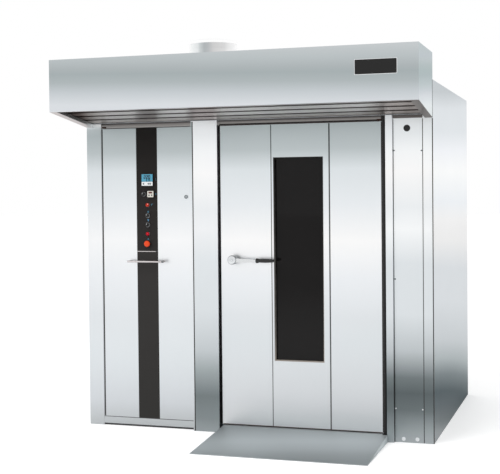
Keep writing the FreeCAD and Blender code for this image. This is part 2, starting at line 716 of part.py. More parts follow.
def duct_rear_y():
    """Rear face of the supply duct."""
    return CHAMBER_BACK_Y - DUCT_FROM_REAR


def air_duct_wall():
    """Wall between chamber and heat space: blowing slots at the back, return grille at the front."""
    x_span = (DUCT_WALL_LEFT, CHAMBER_LEFT)
    wall = block(x_span, (FRAME_BACK_Y, CHAMBER_BACK_Y), (FLOOR_LEVEL, CHAMBER_TOP))
    holes = []
    half = DUCT_WIDE / 2
    slot_rows = 1 + int((INLET_PLATE_HEIGHT - SLOT_HIGH - SLOT_FIRST) / SLOT_PITCH)
    for row in range(slot_rows):
        low = SLOT_FIRST + row * SLOT_PITCH
        for column in range(2):
            first = duct_rear_y() - half * column - (half - SLOT_LONG) / 2 - SLOT_LONG
            holes.append(block(x_span, (first, first + SLOT_LONG), (low, low + SLOT_HIGH)))
    for row in range(GRILLE_ROWS):
        low = GRILLE_FIRST + row * GRILLE_PITCH
        first = HEAT_FRONT_Y + PANEL_RETURN
        holes.append(block(x_span, (first, first + GRILLE_LONG), (low, low + GRILLE_HIGH)))
    return wall.cut(holes)


def supply_duct():
    """Folded channel that feeds the blowing slots from the fan above."""
    y_span = (duct_rear_y() - DUCT_WIDE, duct_rear_y())
    outer = block((DUCT_WALL_LEFT - DUCT_DEEP, DUCT_WALL_LEFT), y_span, (DUCT_LOW, INLET_PLATE_HEIGHT))
    hollow = block((DUCT_WALL_LEFT - DUCT_DEEP + SHEET, DUCT_WALL_LEFT + SHEET), grown(y_span, -SHEET),
                   (DUCT_LOW + SHEET, INLET_PLATE_HEIGHT + SHEET))
    return outer.cut(hollow)


def door_frame():
    """Folded portal around the doorway that closes the chamber's front."""
    frame = block((FRAME_LEFT, FRAME_RIGHT), (FRAME_FRONT_Y, FRAME_BACK_Y), (FLOOR_LEVEL, CHAMBER_TOP))
    way = (DOORWAY_LEFT, DOORWAY_RIGHT)
    doorway = block(way, grown((FRAME_FRONT_Y, FRAME_BACK_Y), SHEET), (FLOOR_LEVEL - SHEET, DOORWAY_TOP))
    core = block(grown((FRAME_LEFT, FRAME_RIGHT), SHEET), grown((FRAME_FRONT_Y, FRAME_BACK_Y), -SHEET),
                 (FLOOR_LEVEL - SHEET, CHAMBER_TOP - SHEET))
    kept = block(grown(way, SHEET), (FRAME_FRONT_Y, FRAME_BACK_Y), (FLOOR_LEVEL - SHEET, DOORWAY_TOP + SHEET))
    return frame.cut(doorway).cut(core.cut(kept))


def frame_gasket():
    """Heat-proof seal on the portal behind the door's rim, with a lip in the gap at the latch side."""
    outer_x = (PILLAR_RIGHT + HINGE_GAP, DOOR_RIGHT - FIT_GAP)
    outer_z = (FLOOR_LEVEL, DOOR_TOP)
    y_span = (DOOR_BACK_Y + TOUCH, DOOR_BACK_Y + TOUCH + GASKET_THICK)
    band = block(outer_x, y_span, outer_z)
    inner = block(grown(outer_x, -GASKET_BAND), y_span, (FLOOR_LEVEL - SHEET, DOOR_TOP - GASKET_BAND))
    band = band.cut(inner)
    lip_x = (PILLAR_RIGHT + HINGE_GAP, PILLAR_RIGHT + HINGE_GAP + GASKET_LIP)
    lip = block(lip_x, (FRONT_Y + PANEL_RETURN / 2, y_span[1]), outer_z)
    keeper = latch_keeper().BoundBox
    notch = block(grown((keeper.XMin, keeper.XMax), GASKET_LIP * 2), (FRONT_Y, DOOR_BACK_Y),
                  grown((keeper.ZMin, keeper.ZMax), FIT_GAP))
    return band.fuse(lip.cut(notch)).removeSplitter()


def insulation():
    """Mineral wool slabs in the floor, sides, back, top and partition."""
    wall_z = (FLOOR_LEVEL, CHAMBER_TOP)
    chamber_y = (FRAME_BACK_Y, CHAMBER_BACK_Y + SHEET)
    floor = block((LEFT_X + 2 * SHEET, RIGHT_X - 2 * SHEET),
                  (POST_BACK_Y + SHEET, BACK_Y - 2 * SHEET), (SHEET, BASE_TOP))
    right = block((CHAMBER_RIGHT + SHEET, RIGHT_X - SHEET), chamber_y, wall_z)
    left = block((LEFT_X + SHEET, HEAT_LEFT - SHEET), (HEAT_FRONT_Y, CHAMBER_BACK_Y + SHEET), wall_z)
    rear = block((HEAT_LEFT - SHEET, CHAMBER_RIGHT + SHEET),
                 (CHAMBER_BACK_Y + SHEET, CHAMBER_BACK_Y + SHEET + REAR_INSULATION), wall_z)
    front = block((HEAT_LEFT, DUCT_WALL_LEFT), (PARTITION_FRONT_Y + SHEET, HEAT_FRONT_Y), wall_z)
    top = block((HEAT_LEFT, CHAMBER_RIGHT), (POST_BACK_Y, CHAMBER_BACK_Y), (CHAMBER_TOP + SHEET, ROOF_LOW))
    for x, y, diameter in roof_holes():
        top = top.cut(rod(Vector(x, y, CHAMBER_TOP), UP, diameter + TOUCH * 2, BODY_HEIGHT - CHAMBER_TOP))
    return group([floor, right, left, rear, front, top])


def service_partition():
    """Sheet between service space and heat space, with the mounting plate for the electrics."""
    sheet = block((LEFT_X + SHEET, DUCT_WALL_LEFT), (PARTITION_FRONT_Y, PARTITION_FRONT_Y + SHEET),
                  (FLOOR_LEVEL, CHAMBER_TOP))
    rail_left = HEAT_X - RAIL_LONG / 2
    plate = block((rail_left, rail_left + RAIL_LONG), (PARTITION_FRONT_Y - SHEET, PARTITION_FRONT_Y),
                  grown((RAIL_HEIGHT, RAIL_HEIGHT), ELECTRIC_PLATE_HIGH / 2))
    for offset in (-RAIL_PITCH, 0, RAIL_PITCH):
        middle = RAIL_HEIGHT + offset
        plate = plate.fuse(block((rail_left, rail_left + RAIL_LONG),
                                 (PARTITION_FRONT_Y - SHEET - RAIL_DEEP, PARTITION_FRONT_Y - SHEET),
                                 (middle - RAIL_HIGH / 2, middle + RAIL_HIGH / 2)))
    return sheet.fuse(plate).removeSplitter()


def contactors():
    """Row of contactors on the middle rail."""
    units = []
    back = PARTITION_FRONT_Y - SHEET - RAIL_DEEP
    first = HEAT_X - (CONTACTOR_COUNT - 1) * CONTACTOR_PITCH / 2 - CONTACTOR_WIDE / 2
    middle = (RAIL_HEIGHT - CONTACTOR_HIGH / 2, RAIL_HEIGHT + CONTACTOR_HIGH / 2)
    for index in range(CONTACTOR_COUNT):
        left = first + index * CONTACTOR_PITCH
        x_span = (left, left + CONTACTOR_WIDE)
        base = block(x_span, (back - CONTACTOR_BASE_DEEP, back), middle)
        nose = block(grown(x_span, -CONTACTOR_NOSE_SIDE), (back - CONTACTOR_DEEP, back),
                     grown(middle, -CONTACTOR_NOSE_END))
        units.append(base.fuse(nose).removeSplitter())
    return group(units)


# ---------------------------------------------------------------- heat and air
def heater_bank():
    """Terminal plate on the partition with bent heating rods reaching into the heat space."""
    high = (ROD_ROWS - 1) * ROD_ROW_PITCH + 2 * ROD_BEND
    wide = (ROD_COLUMNS - 1) * ROD_COLUMN_PITCH
    plate_y = HEAT_FRONT_Y
    z_span = (ROD_FIRST - ROD_BEND - HEATER_PLATE_BORDER, ROD_FIRST - ROD_BEND + high + HEATER_PLATE_BORDER)
    bank = block(grown((HEAT_X - wide / 2, HEAT_X + wide / 2), HEATER_PLATE_BORDER),
                 (plate_y, plate_y + 2 * SHEET), z_span)
    rods = []
    for column in range(ROD_COLUMNS):
        x = HEAT_X - wide / 2 + column * ROD_COLUMN_PITCH
        for row in range(ROD_ROWS):
            rods.append(heating_rod(Vector(x, plate_y + SHEET, ROD_FIRST + row * ROD_ROW_PITCH)))
    return bank.fuse(rods)


def heating_rod(middle):
    """One hairpin rod: two legs and a half-round bend."""
    legs = []
    for offset in (-ROD_BEND, ROD_BEND):
        legs.append(rod(middle + Vector(0, 0, offset), BACKWARD, ROD_DIAMETER, ROD_LONG))
    bend = Part.makeTorus(ROD_BEND, ROD_DIAMETER / 2, middle + Vector(0, ROD_LONG, 0), RIGHTWARD)
    reach = ROD_BEND + ROD_DIAMETER
    behind = block((middle.x - reach, middle.x + reach), (middle.y + ROD_LONG, middle.y + ROD_LONG + reach),
                   (middle.z - reach, middle.z + reach))
    return legs[0].fuse([legs[1], bend.common(behind)])


def steam_cascade():
    """Cast troughs stacked between two cheeks; water runs over them and turns to steam."""
    left = HEAT_LEFT + HEATER_PLATE_BORDER
    back = CHAMBER_BACK_Y - HEATER_PLATE_BORDER
    x_span = (left, left + CASCADE_WIDE)
    y_span = (back - CASCADE_LONG, back)
    top = FLOOR_LEVEL + (CASCADE_LEVELS + 0.5) * CASCADE_PITCH
    cheeks = []
    for low in (y_span[0], y_span[1] - CASCADE_WALL):
        cheeks.append(block(x_span, (low, low + CASCADE_WALL), (FLOOR_LEVEL, top)))
    troughs = []
    for level in range(CASCADE_LEVELS):
        z = FLOOR_LEVEL + CASCADE_PITCH / 2 + level * CASCADE_PITCH
        trough_x = left + (CASCADE_WIDE - TROUGH_WIDE) * (level % 2)
        troughs.append(trough(Vector(trough_x, y_span[0], z)))
    return cheeks[0].fuse([cheeks[1]] + troughs).removeSplitter()


def trough(corner):
    """One cast trough with tapered walls, from its lower front left corner."""
    right = TROUGH_WIDE
    outline = [(0, TROUGH_HIGH), (0, 0), (right, 0), (right, TROUGH_HIGH),
               (right - CASCADE_WALL, TROUGH_HIGH), (right - 2 * CASCADE_WALL, CASCADE_WALL),
               (2 * CASCADE_WALL, CASCADE_WALL), (CASCADE_WALL, TROUGH_HIGH)]
    section = [corner + Vector(x, 0, z) for x, z in outline]
    return prism(section, Vector(0, CASCADE_LONG, 0))


def fan_inlet_plate():
    """Shelf over the heat space with the rolled inlet ring of the fan and the mouth of the duct."""
    plate = block((HEAT_LEFT, DUCT_WALL_LEFT), (HEAT_FRONT_Y, CHAMBER_BACK_Y),
                  (INLET_PLATE_HEIGHT, INLET_PLATE_HEIGHT + SHEET))
    eye = Vector(HEAT_X, HEAT_Y, INLET_PLATE_HEIGHT)
    mouth = block((DUCT_WALL_LEFT - DUCT_DEEP + SHEET, DUCT_WALL_LEFT),
                  grown((duct_rear_y() - DUCT_WIDE, duct_rear_y()), -SHEET),
                  (INLET_PLATE_HEIGHT - SHEET, INLET_PLATE_HEIGHT + 2 * SHEET))
    plate = plate.cut([rod(eye, UP, FAN_EYE, SHEET), mouth])
    eye_radius = FAN_EYE / 2
    rise = FAN_LOW - INLET_PLATE_HEIGHT - FIT_GAP
    throat = eye_radius - INLET_RING_TAPER
    ring = turned([(eye_radius, 0), (eye_radius + SHEET, 0), (throat + SHEET, rise), (throat, rise)], eye)
    return plate.fuse(ring).removeSplitter()


def fan_wheel():
    """Centrifugal wheel with backward-leaning blades on its shaft."""
    middle = Vector(HEAT_X, HEAT_Y, FAN_LOW)
    radius = FAN_DIAMETER / 2
    eye = FAN_EYE / 2
    shroud = turned([(eye, 0), (radius, FAN_SHROUD_RISE), (radius, FAN_SHROUD_RISE + FAN_SHEET),
                     (eye, FAN_SHEET)], middle)
    back = rod(middle + Vector(0, 0, FAN_HIGH), UP, FAN_DIAMETER, FAN_SHEET)
    hub_foot = middle + Vector(0, 0, FAN_HIGH - FAN_HUB_HIGH)
    hub = rod(hub_foot, UP, FAN_HUB, FAN_HUB_HIGH + FAN_SHEET)
    shaft = rod(hub_foot, UP, FAN_SHAFT, BODY_HEIGHT + FAN_SHAFT_IN_MOTOR - hub_foot.z)
    blades = []
    inner = eye - BLADE_IN
    long = (radius - inner) / math.cos(math.radians(BLADE_LEAN))
    for index in range(FAN_BLADES):
        blade = block((inner, inner + long), (-FAN_SHEET / 2, FAN_SHEET / 2), (FAN_SHEET / 2, FAN_HIGH))
        blade.rotate(Vector(inner, 0, 0), UP, BLADE_LEAN)
        blade.rotate(Vector(0, 0, 0), UP, 360.0 * index / FAN_BLADES)
        blades.append(blade.translated(middle))
    limit = rod(middle, UP, FAN_DIAMETER, FAN_HIGH + FAN_SHEET)
    cone = turned([(0, -FAN_SHEET), (eye, 0), (radius + FAN_SHEET, FAN_SHROUD_RISE + FAN_SHEET / 2),
                   (radius + FAN_SHEET, -FAN_SHEET)], middle)
    vanes = blades[0].fuse(blades[1:]).common(limit).cut(cone)
    return shroud.fuse([back, hub, shaft, vanes]).removeSplitter()


def fan_motor():
    """Finned motor on its square plate over the heat space."""
    foot = Vector(HEAT_X, HEAT_Y, BODY_HEIGHT)
    plate = soft_block(grown((foot.x, foot.x), FAN_MOTOR_PLATE / 2),
                       grown((foot.y, foot.y), FAN_MOTOR_PLATE / 2),
                       (BODY_HEIGHT, BODY_HEIGHT + FAN_MOTOR_PLATE_THICK), FAN_MOTOR_CORNER, UP)
    body = rod(foot, UP, FAN_MOTOR_CORE, FAN_MOTOR_HIGH)
    flange = rod(foot, UP, FAN_MOTOR_DIAMETER, FAN_MOTOR_FLANGE)
    cowl_low = FAN_MOTOR_HIGH - FAN_COWL_LAP
    cowl = turned([(0, 0), (FAN_COWL_DIAMETER / 2, 0), (FAN_COWL_DIAMETER / 2, FAN_COWL_RIM),
                   (FAN_COWL_TOP / 2, FAN_COWL_HIGH), (0, FAN_COWL_HIGH)], foot + Vector(0, 0, cowl_low))
    fins = []
    for index in range(FIN_COUNT):
        fin = block((FAN_MOTOR_CORE / 2 - FIN_THICK, FAN_MOTOR_DIAMETER / 2), (-FIN_THICK / 2, FIN_THICK / 2),
                    (FAN_MOTOR_FLANGE, cowl_low - FIN_THICK))
        fin.rotate(Vector(0, 0, 0), UP, 360.0 * index / FIN_COUNT)
        fins.append(fin.translated(foot))
    solid = plate.fuse([body, flange, cowl] + fins)
    bore = rod(foot, UP, FAN_SHAFT + 2 * PIN_RUN, FAN_SHAFT_IN_MOTOR + FIT_GAP)
    return solid.cut(bore).removeSplitter()


# ---------------------------------------------------------------- rotation
def flange_top():
    """Upper face of the rotation bearing's flange."""
    return BODY_HEIGHT + BEARING_FLANGE_HIGH


def rotation_bearing():
    """Flanged sleeve through ceiling and roof, with a seat for the shaft collar."""
    low = CHAMBER_TOP - BEARING_FLANGE_HIGH
    axis_foot = Vector(CHAMBER_X, CHAMBER_Y, low)
    sleeve = rod(axis_foot, UP, BEARING_SLEEVE, flange_top() - low)
    flange = rod(Vector(CHAMBER_X, CHAMBER_Y, BODY_HEIGHT), UP, BEARING_FLANGE, BEARING_FLANGE_HIGH)
    bore = rod(axis_foot, UP, SHAFT_DIAMETER + 2 * PIN_RUN, flange_top() - low)
    seat = rod(Vector(CHAMBER_X, CHAMBER_Y, flange_top() - COLLAR_HIGH - PIN_RUN), UP,
               COLLAR_DIAMETER + 2 * PIN_RUN, BEARING_FLANGE_HIGH)
    return sleeve.fuse(flange).cut([bore, seat])


def rack_carrier():
    """Turning carrier: shaft, hub, cross arm and two hooked rails that lift the rack."""
    foot = Vector(CHAMBER_X, CHAMBER_Y, CARRIER_TOP - CARRIER_HUB_HIGH)
    shaft = rod(foot, UP, SHAFT_DIAMETER, flange_top() + GEARBOX_SHAFT_IN - foot.z)
    hub = turned([(0, 0), (CARRIER_HUB / 2, 0), (CARRIER_HUB / 2, CARRIER_HUB_RIM),
                  (CARRIER_HUB_TOP / 2, CARRIER_HUB_HIGH), (0, CARRIER_HUB_HIGH)], foot)
    collar = rod(Vector(foot.x, foot.y, flange_top() - COLLAR_HIGH), UP, COLLAR_DIAMETER, COLLAR_HIGH - TOUCH)
    arm_z = (foot.z - ARM_HIGH, foot.z)
    arm = soft_block(grown((foot.x, foot.x), ARM_LONG / 2), grown((foot.y, foot.y), ARM_WIDE / 2),
                     arm_z, ARM_CORNER, UP)
    parts = [hub, collar, arm]
    for side in (-1, 1):
        outer = foot.x + side * (HOOK_SPREAD / 2 + HOOK_THICK)
        inner = foot.x + side * HOOK_SPREAD / 2
        tip = inner - side * HOOK_LIP
        y_span = (foot.y - HOOK_LONG / 2, foot.y + HOOK_LONG / 2)
        low = arm_z[0] - HOOK_DROP
        parts.append(block(sorted((outer, inner)), y_span, (low, arm_z[0])))
        parts.append(block(sorted((outer, tip)), y_span, (low, low + HOOK_THICK)))
        parts.append(block(sorted((tip, tip + side * HOOK_THICK)), y_span, (low, low + HOOK_LIP / 2)))
    return shaft.fuse(parts).removeSplitter()


def rotation_gearmotor():
    """Gearbox over the bearing with its motor lying towards the back."""
    low = flange_top()
    half = GEARBOX_SIDE / 2
    case = soft_block(grown((CHAMBER_X, CHAMBER_X), half), grown((CHAMBER_Y, CHAMBER_Y), half),
                      (low, low + GEARBOX_HIGH), GEARBOX_CORNER, UP)
    start = Vector(CHAMBER_X, CHAMBER_Y + half, low + GEARMOTOR_AXIS)
    neck = rod(start - Vector(0, GEARMOTOR_NECK_LONG, 0), BACKWARD, GEARMOTOR_NECK, 2 * GEARMOTOR_NECK_LONG)
    motor_start = start + Vector(0, GEARMOTOR_NECK_LONG, 0)
    motor = rod(motor_start, BACKWARD, GEARMOTOR_CORE, GEARMOTOR_LONG)
    shields = []
    for along in (0, GEARMOTOR_LONG - GEARMOTOR_SHIELD):
        shields.append(rod(motor_start + Vector(0, along, 0), BACKWARD, GEARMOTOR_DIAMETER, GEARMOTOR_SHIELD))
    fins = []
    for index in range(GEARMOTOR_FINS):
        fin = block((-GEARMOTOR_FIN_THICK / 2, GEARMOTOR_FIN_THICK / 2), (GEARMOTOR_SHIELD, GEARMOTOR_LONG),
                    (GEARMOTOR_CORE / 2 - GEARMOTOR_FIN_THICK, GEARMOTOR_DIAMETER / 2))
        fin.rotate(Vector(0, 0, 0), BACKWARD, 360.0 * index / GEARMOTOR_FINS)
        fins.append(fin.translated(motor_start))
    bore = rod(Vector(CHAMBER_X, CHAMBER_Y, low), UP, SHAFT_DIAMETER + 2 * PIN_RUN, GEARBOX_SHAFT_IN + FIT_GAP)
    return case.fuse([neck, motor] + shields + fins).cut(bore).removeSplitter()


# ---------------------------------------------------------------- steam outlet
def vent_pipe():
    """Steam outlet through ceiling and roof: roof flange, damper shaft holes, bead under the duct stub."""
    radius = VENT_DIAMETER / 2
    inner = radius - VENT_WALL
    flange = BODY_HEIGHT - CHAMBER_TOP
    top = VENT_TOP - CHAMBER_TOP
    stub = top - VENT_STUB
    profile = [(inner, 0), (radius, 0), (radius, flange), (radius + VENT_FLANGE, flange),
               (radius + VENT_FLANGE, flange + SHEET), (radius, flange + SHEET), (radius, stub - 2 * VENT_BEAD),
               (radius + VENT_BEAD, stub - VENT_BEAD), (radius, stub), (radius, top), (inner, top)]
    tube = turned(profile, Vector(VENT_X, VENT_Y, CHAMBER_TOP))
    reach = VENT_DIAMETER
    start = Vector(VENT_X - reach, VENT_Y, DAMPER_HEIGHT)
    across = rod(start, RIGHTWARD, DAMPER_SHAFT + 2 * PIN_RUN, 2 * reach)
    return tube.cut(across).removeSplitter()


def vent_damper():
    """Round flap on its cross shaft, with the setting lever outside the pipe."""
    radius = VENT_DIAMETER / 2 - VENT_WALL - DAMPER_GAP
    middle = Vector(VENT_X, VENT_Y, DAMPER_HEIGHT)
    flap = rod(middle - Vector(0, 0, DAMPER_THICK / 2), UP, 2 * radius, DAMPER_THICK)
    reach = VENT_DIAMETER / 2 + DAMPER_SHAFT
    shaft = rod(middle - Vector(reach, 0, 0), RIGHTWARD, DAMPER_SHAFT, 2 * reach + DAMPER_SHAFT)
    hub_start = middle + Vector(reach, 0, 0)
    hub = rod(hub_start, RIGHTWARD, 2 * DAMPER_SHAFT, DAMPER_SHAFT)
    arm = block((hub_start.x, hub_start.x + DAMPER_SHAFT / 2), (VENT_Y - DAMPER_ARM, VENT_Y),
                (DAMPER_HEIGHT - DAMPER_SHAFT / 2, DAMPER_HEIGHT + DAMPER_SHAFT / 2))
    weight_start = Vector(hub_start.x, VENT_Y - DAMPER_ARM, DAMPER_HEIGHT)
    weight = rod(weight_start, RIGHTWARD, 3 * DAMPER_SHAFT, DAMPER_SHAFT)
    return flap.fuse([shaft, hub, arm, weight]).removeSplitter()


# ---------------------------------------------------------------- hood
def ledge_height(y):
    """Height of the hood's lower edge at a depth."""
    return FASCIA_LOW - (y - HOOD_FRONT_Y) * HOOD_FALL / HOOD_DEPTH


def sloped_strip(x_span, y_span, low, high):
    """A strip that follows the hood's sloping underside between two heights above it."""
    corners = ((y_span[0], low), (y_span[1], low), (y_span[1], high), (y_span[0], high))
    points = [Vector(x_span[0], y, ledge_height(y) + rise) for y, rise in corners]
    return prism(points, Vector(x_span[1] - x_span[0], 0, 0))


def hood_shell():
    """Folded hood: fascia, cheeks, top, back sheet, ledges along the sides and front lip."""
    wide = (LEFT_X, RIGHT_X)
    deep = (HOOD_FRONT_Y, FRONT_Y)
    front = block(wide, (HOOD_FRONT_Y, HOOD_FRONT_Y + SHEET), (FASCIA_LOW, HOOD_TOP))
    top = block(wide, deep, (HOOD_TOP - SHEET, HOOD_TOP))
    back = block(wide, (FRONT_Y - SHEET, FRONT_Y), (HEADER_SPLIT, HOOD_TOP))
    lip = block(wide, (HOOD_FRONT_Y, HOOD_FRONT_Y + HOOD_LIP), (FASCIA_LOW, FASCIA_LOW + SHEET))
    cheek_outline = [Vector(0, HOOD_FRONT_Y, FASCIA_LOW), Vector(0, HOOD_FRONT_Y, HOOD_TOP),
                     Vector(0, FRONT_Y, HOOD_TOP), Vector(0, FRONT_Y, HOOD_REAR_LOW)]
    cheek = prism(cheek_outline, Vector(SHEET, 0, 0))
    parts = [top, back, lip]
    for side in (-1, 1):
        edge = side * RIGHT_X
        inner = edge - side * HOOD_LEDGE
        parts.append(cheek.translated(Vector(min(edge, edge - side * SHEET), 0, 0)))
        parts.append(sloped_strip(sorted((edge, inner)), deep, 0, SHEET))
        parts.append(sloped_strip(sorted((inner, inner + side * SHEET)), deep, 0, HOOD_UPSTAND))
    shell = front.fuse(parts)
    mouth = rod(Vector(SPIGOT_X, SPIGOT_Y, HOOD_TOP - SHEET), UP, SPIGOT_DIAMETER - 2 * SPIGOT_WALL, SHEET)
    return shell.cut(mouth).removeSplitter()


def hood_slats():
    """Folded slats side by side across the hood's underside, resting on the ledges."""
    x_span = grown((LEFT_X + HOOD_LEDGE, RIGHT_X - HOOD_LEDGE), SLAT_LAP)
    first = HOOD_FRONT_Y + HOOD_LIP + SLAT_GAP
    pitch = (FRONT_Y - SHEET - first) / SLAT_COUNT
    slats = []
    for index in range(SLAT_COUNT):
        y_span = (first + index * pitch, first + (index + 1) * pitch - SLAT_GAP)
        low = HOOD_UPSTAND
        sheet = sloped_strip(x_span, y_span, low, low + SHEET)
        folds = []
        for y in (y_span[0], y_span[1] - SHEET):
            folds.append(sloped_strip(x_span, (y, y + SHEET), low, low + SLAT_FOLD))
        slats.append(sheet.fuse(folds).removeSplitter())
    return group(slats)


def hood_spigot():
    """Round duct spigot on the hood's top with its foot flange and stop bead."""
    radius = SPIGOT_DIAMETER / 2
    inner = radius - SPIGOT_WALL
    stop = SPIGOT_FLANGE
    profile = [(inner, 0), (radius + SPIGOT_FLANGE, 0), (radius + SPIGOT_FLANGE, SHEET), (radius, SHEET),
               (radius, stop), (radius + SPIGOT_BEAD, stop + SPIGOT_BEAD), (radius, stop + 2 * SPIGOT_BEAD),
               (radius, SPIGOT_HIGH), (inner, SPIGOT_HIGH)]
    return turned(profile, Vector(SPIGOT_X, SPIGOT_Y, HOOD_TOP))


# ---------------------------------------------------------------- oven door
def window_block(y_span, amount):
    """The window opening grown by an amount, through a span of Y."""
    return block(grown((WINDOW_LEFT, WINDOW_RIGHT), amount), y_span, grown((WINDOW_LOW, WINDOW_HIGH), amount))


def door_pan():
    """Hollow door tray with the plug that enters the doorway, the window tunnel and the latch slot."""
    x_span = (DOOR_LEFT, DOOR_RIGHT)
    z_span = (FLOOR_LEVEL, DOOR_TOP)
    plug_x = (DOORWAY_LEFT + PLUG_GAP, DOORWAY_RIGHT - PLUG_GAP)
    plug_z = (FLOOR_LEVEL + PLUG_GAP, DOORWAY_TOP - PLUG_GAP)
    plug_back = DOOR_BACK_Y + PLUG_DEEP
    body = soft_block(x_span, (FRONT_Y + SHEET, DOOR_BACK_Y), z_span, SHEET, UP)
    plug = soft_block(plug_x, (DOOR_BACK_Y - SHEET, plug_back), plug_z, 2 * SHEET, BACKWARD)
    hollow = block(grown(x_span, -SHEET), (FRONT_Y, DOOR_BACK_Y - SHEET), grown(z_span, -SHEET))
    plug_hollow = block(grown(plug_x, -2 * SHEET), (FRONT_Y, plug_back - SHEET), grown(plug_z, -2 * SHEET))
    tray = body.fuse(plug).cut([hollow, plug_hollow])
    through = (FRONT_Y + SHEET, plug_back)
    tunnel = window_block(through, SHEET)
    tray = tray.fuse(tunnel).cut(window_block(grown(through, SHEET), 0))
    return tray.cut(latch_slot((DOOR_LEFT - SHEET, DOOR_LEFT + 2 * SHEET))).removeSplitter()


def door_skins():
    """Left and right front sheets of the oven door."""
    y_span = (FRONT_Y, FRONT_Y + SHEET)
    z_span = (FLOOR_LEVEL, DOOR_TOP)
    left = block((DOOR_LEFT, DOOR_LEFT + SEAM_LEFT - SEAM_GAP / 2), y_span, z_span)
    right = block((DOOR_LEFT + SEAM_RIGHT + SEAM_GAP / 2, DOOR_RIGHT), y_span, z_span)
    hole = rod(Vector(LEVER_X, FRONT_Y, LEVER_HEIGHT), BACKWARD, SPINDLE_DIAMETER + 2 * TOUCH, SHEET)
    return group([left.cut(hole), right])


def window_panel():
    """Middle front sheet of the oven door with the window opening."""
    y_span = (FRONT_Y, FRONT_Y + SHEET)
    x_span = (DOOR_LEFT + SEAM_LEFT + SEAM_GAP / 2, DOOR_LEFT + SEAM_RIGHT - SEAM_GAP / 2)
    return block(x_span, y_span, (FLOOR_LEVEL, DOOR_TOP)).cut(window_block(y_span, 0))


def door_glass():
    """Outer and inner window panes."""
    outer = FRONT_Y + GLASS_SET_BACK
    inner = DOOR_BACK_Y + PLUG_DEEP - GLASS_THICK
    panes = []
    for low in (outer, inner):
        panes.append(window_block((low, low + GLASS_THICK), -TOUCH))
    return group(panes)


def hinge_tube():
    """Black hinge tube of the oven door with its pivot pins and fixing leaf."""
    tube_top = HEADER_LOW
    low = Vector(HINGE_X, HINGE_Y, HINGE_TUBE_LOW)
    tube = rod(low, UP, HINGE_TUBE, tube_top - HINGE_TUBE_LOW)
    rims = [edge for edge in tube.Edges if edge.BoundBox.ZLength < SHEET]
    tube = tube.makeFillet(SHEET, rims)
    pin_low = rod(low - Vector(0, 0, HINGE_PIN_LONG), UP, HINGE_PIN, HINGE_PIN_LONG + SHEET)
    pin_high = rod(Vector(HINGE_X, HINGE_Y, tube_top - SHEET), UP, HINGE_PIN, HINGE_PIN_LONG + SHEET)
    leaf = block((DOOR_RIGHT, HINGE_X), (FRONT_Y + HINGE_GAP, FRONT_Y + HINGE_AHEAD),
                 (FLOOR_LEVEL, DOOR_TOP))
    return tube.fuse([pin_low, pin_high, leaf]).removeSplitter()


def handle_rosette():
    """Round bearing rosette of the door lever."""
    radius = ROSETTE_DIAMETER / 2
    bore = SPINDLE_DIAMETER / 2 + PIN_RUN
    profile = [(bore, 0), (radius, 0), (radius, ROSETTE_RIM), (ROSETTE_TOP_DIAMETER / 2, ROSETTE_HIGH),
               (bore, ROSETTE_HIGH)]
    return turned_along(profile, Vector(LEVER_X, FRONT_Y, LEVER_HEIGHT), FORWARD)


def lever_axis_y():
    """Depth of the lever arm's centre line."""
    return FRONT_Y - LEVER_STAND_OFF


def door_lever():
    """Lever arm on its spindle, with the latch tongue inside the door."""
    axis = Vector(LEVER_X, lever_axis_y(), LEVER_HEIGHT)
    tongue_back_y = FRONT_Y + TONGUE_BACK + TONGUE_THICK
    hub_front = axis - Vector(0, LEVER_HUB_LONG / 2, 0)
    spindle = rod(hub_front, BACKWARD, SPINDLE_DIAMETER, tongue_back_y - hub_front.y)
    hub = rod(hub_front, BACKWARD, LEVER_HUB, LEVER_HUB_LONG)
    arm_end = axis.x + LEVER_BARE + GRIP_DIAMETER / 2
    arm_front = axis.y - LEVER_THICK / 2
    arm = prism([Vector(axis.x, arm_front, axis.z - LEVER_ROOT_HIGH / 2),
                 Vector(arm_end, arm_front, axis.z - LEVER_TIP_HIGH / 2),
                 Vector(arm_end, arm_front, axis.z + LEVER_TIP_HIGH / 2),
                 Vector(axis.x, arm_front, axis.z + LEVER_ROOT_HIGH / 2)],
                Vector(0, LEVER_THICK, 0))
    core_start = Vector(arm_end - SHEET, axis.y, axis.z)
    core = rod(core_start, RIGHTWARD, LEVER_THICK, axis.x + LEVER_LONG - GRIP_DIAMETER / 2 - core_start.x)
    half = TONGUE_WIDE / 2
    tongue = soft_block((axis.x - half, axis.x + half), (tongue_back_y - TONGUE_THICK, tongue_back_y),
                        (axis.z - TONGUE_LONG, axis.z + half), TONGUE_ROUND, BACKWARD)
    return spindle.fuse([hub, arm, core, tongue]).removeSplitter()


def lever_grip():
    """Turned black grip on the lever."""
    start = LEVER_BARE + GRIP_DIAMETER / 2 + TOUCH
    long = LEVER_LONG - start
    radius = GRIP_DIAMETER / 2
    core = LEVER_THICK / 2 + PIN_RUN
    blind = long - radius + TOUCH
    profile = [(core, 0), (GRIP_ROOT / 2, 0), (radius, GRIP_EASE), (GRIP_WAIST / 2, long / 2),
               (radius, long - GRIP_EASE), (GRIP_TIP / 2, long), (0, long), (0, blind), (core, blind)]
    return turned_along(profile, Vector(LEVER_X + start, lever_axis_y(), LEVER_HEIGHT), RIGHTWARD)


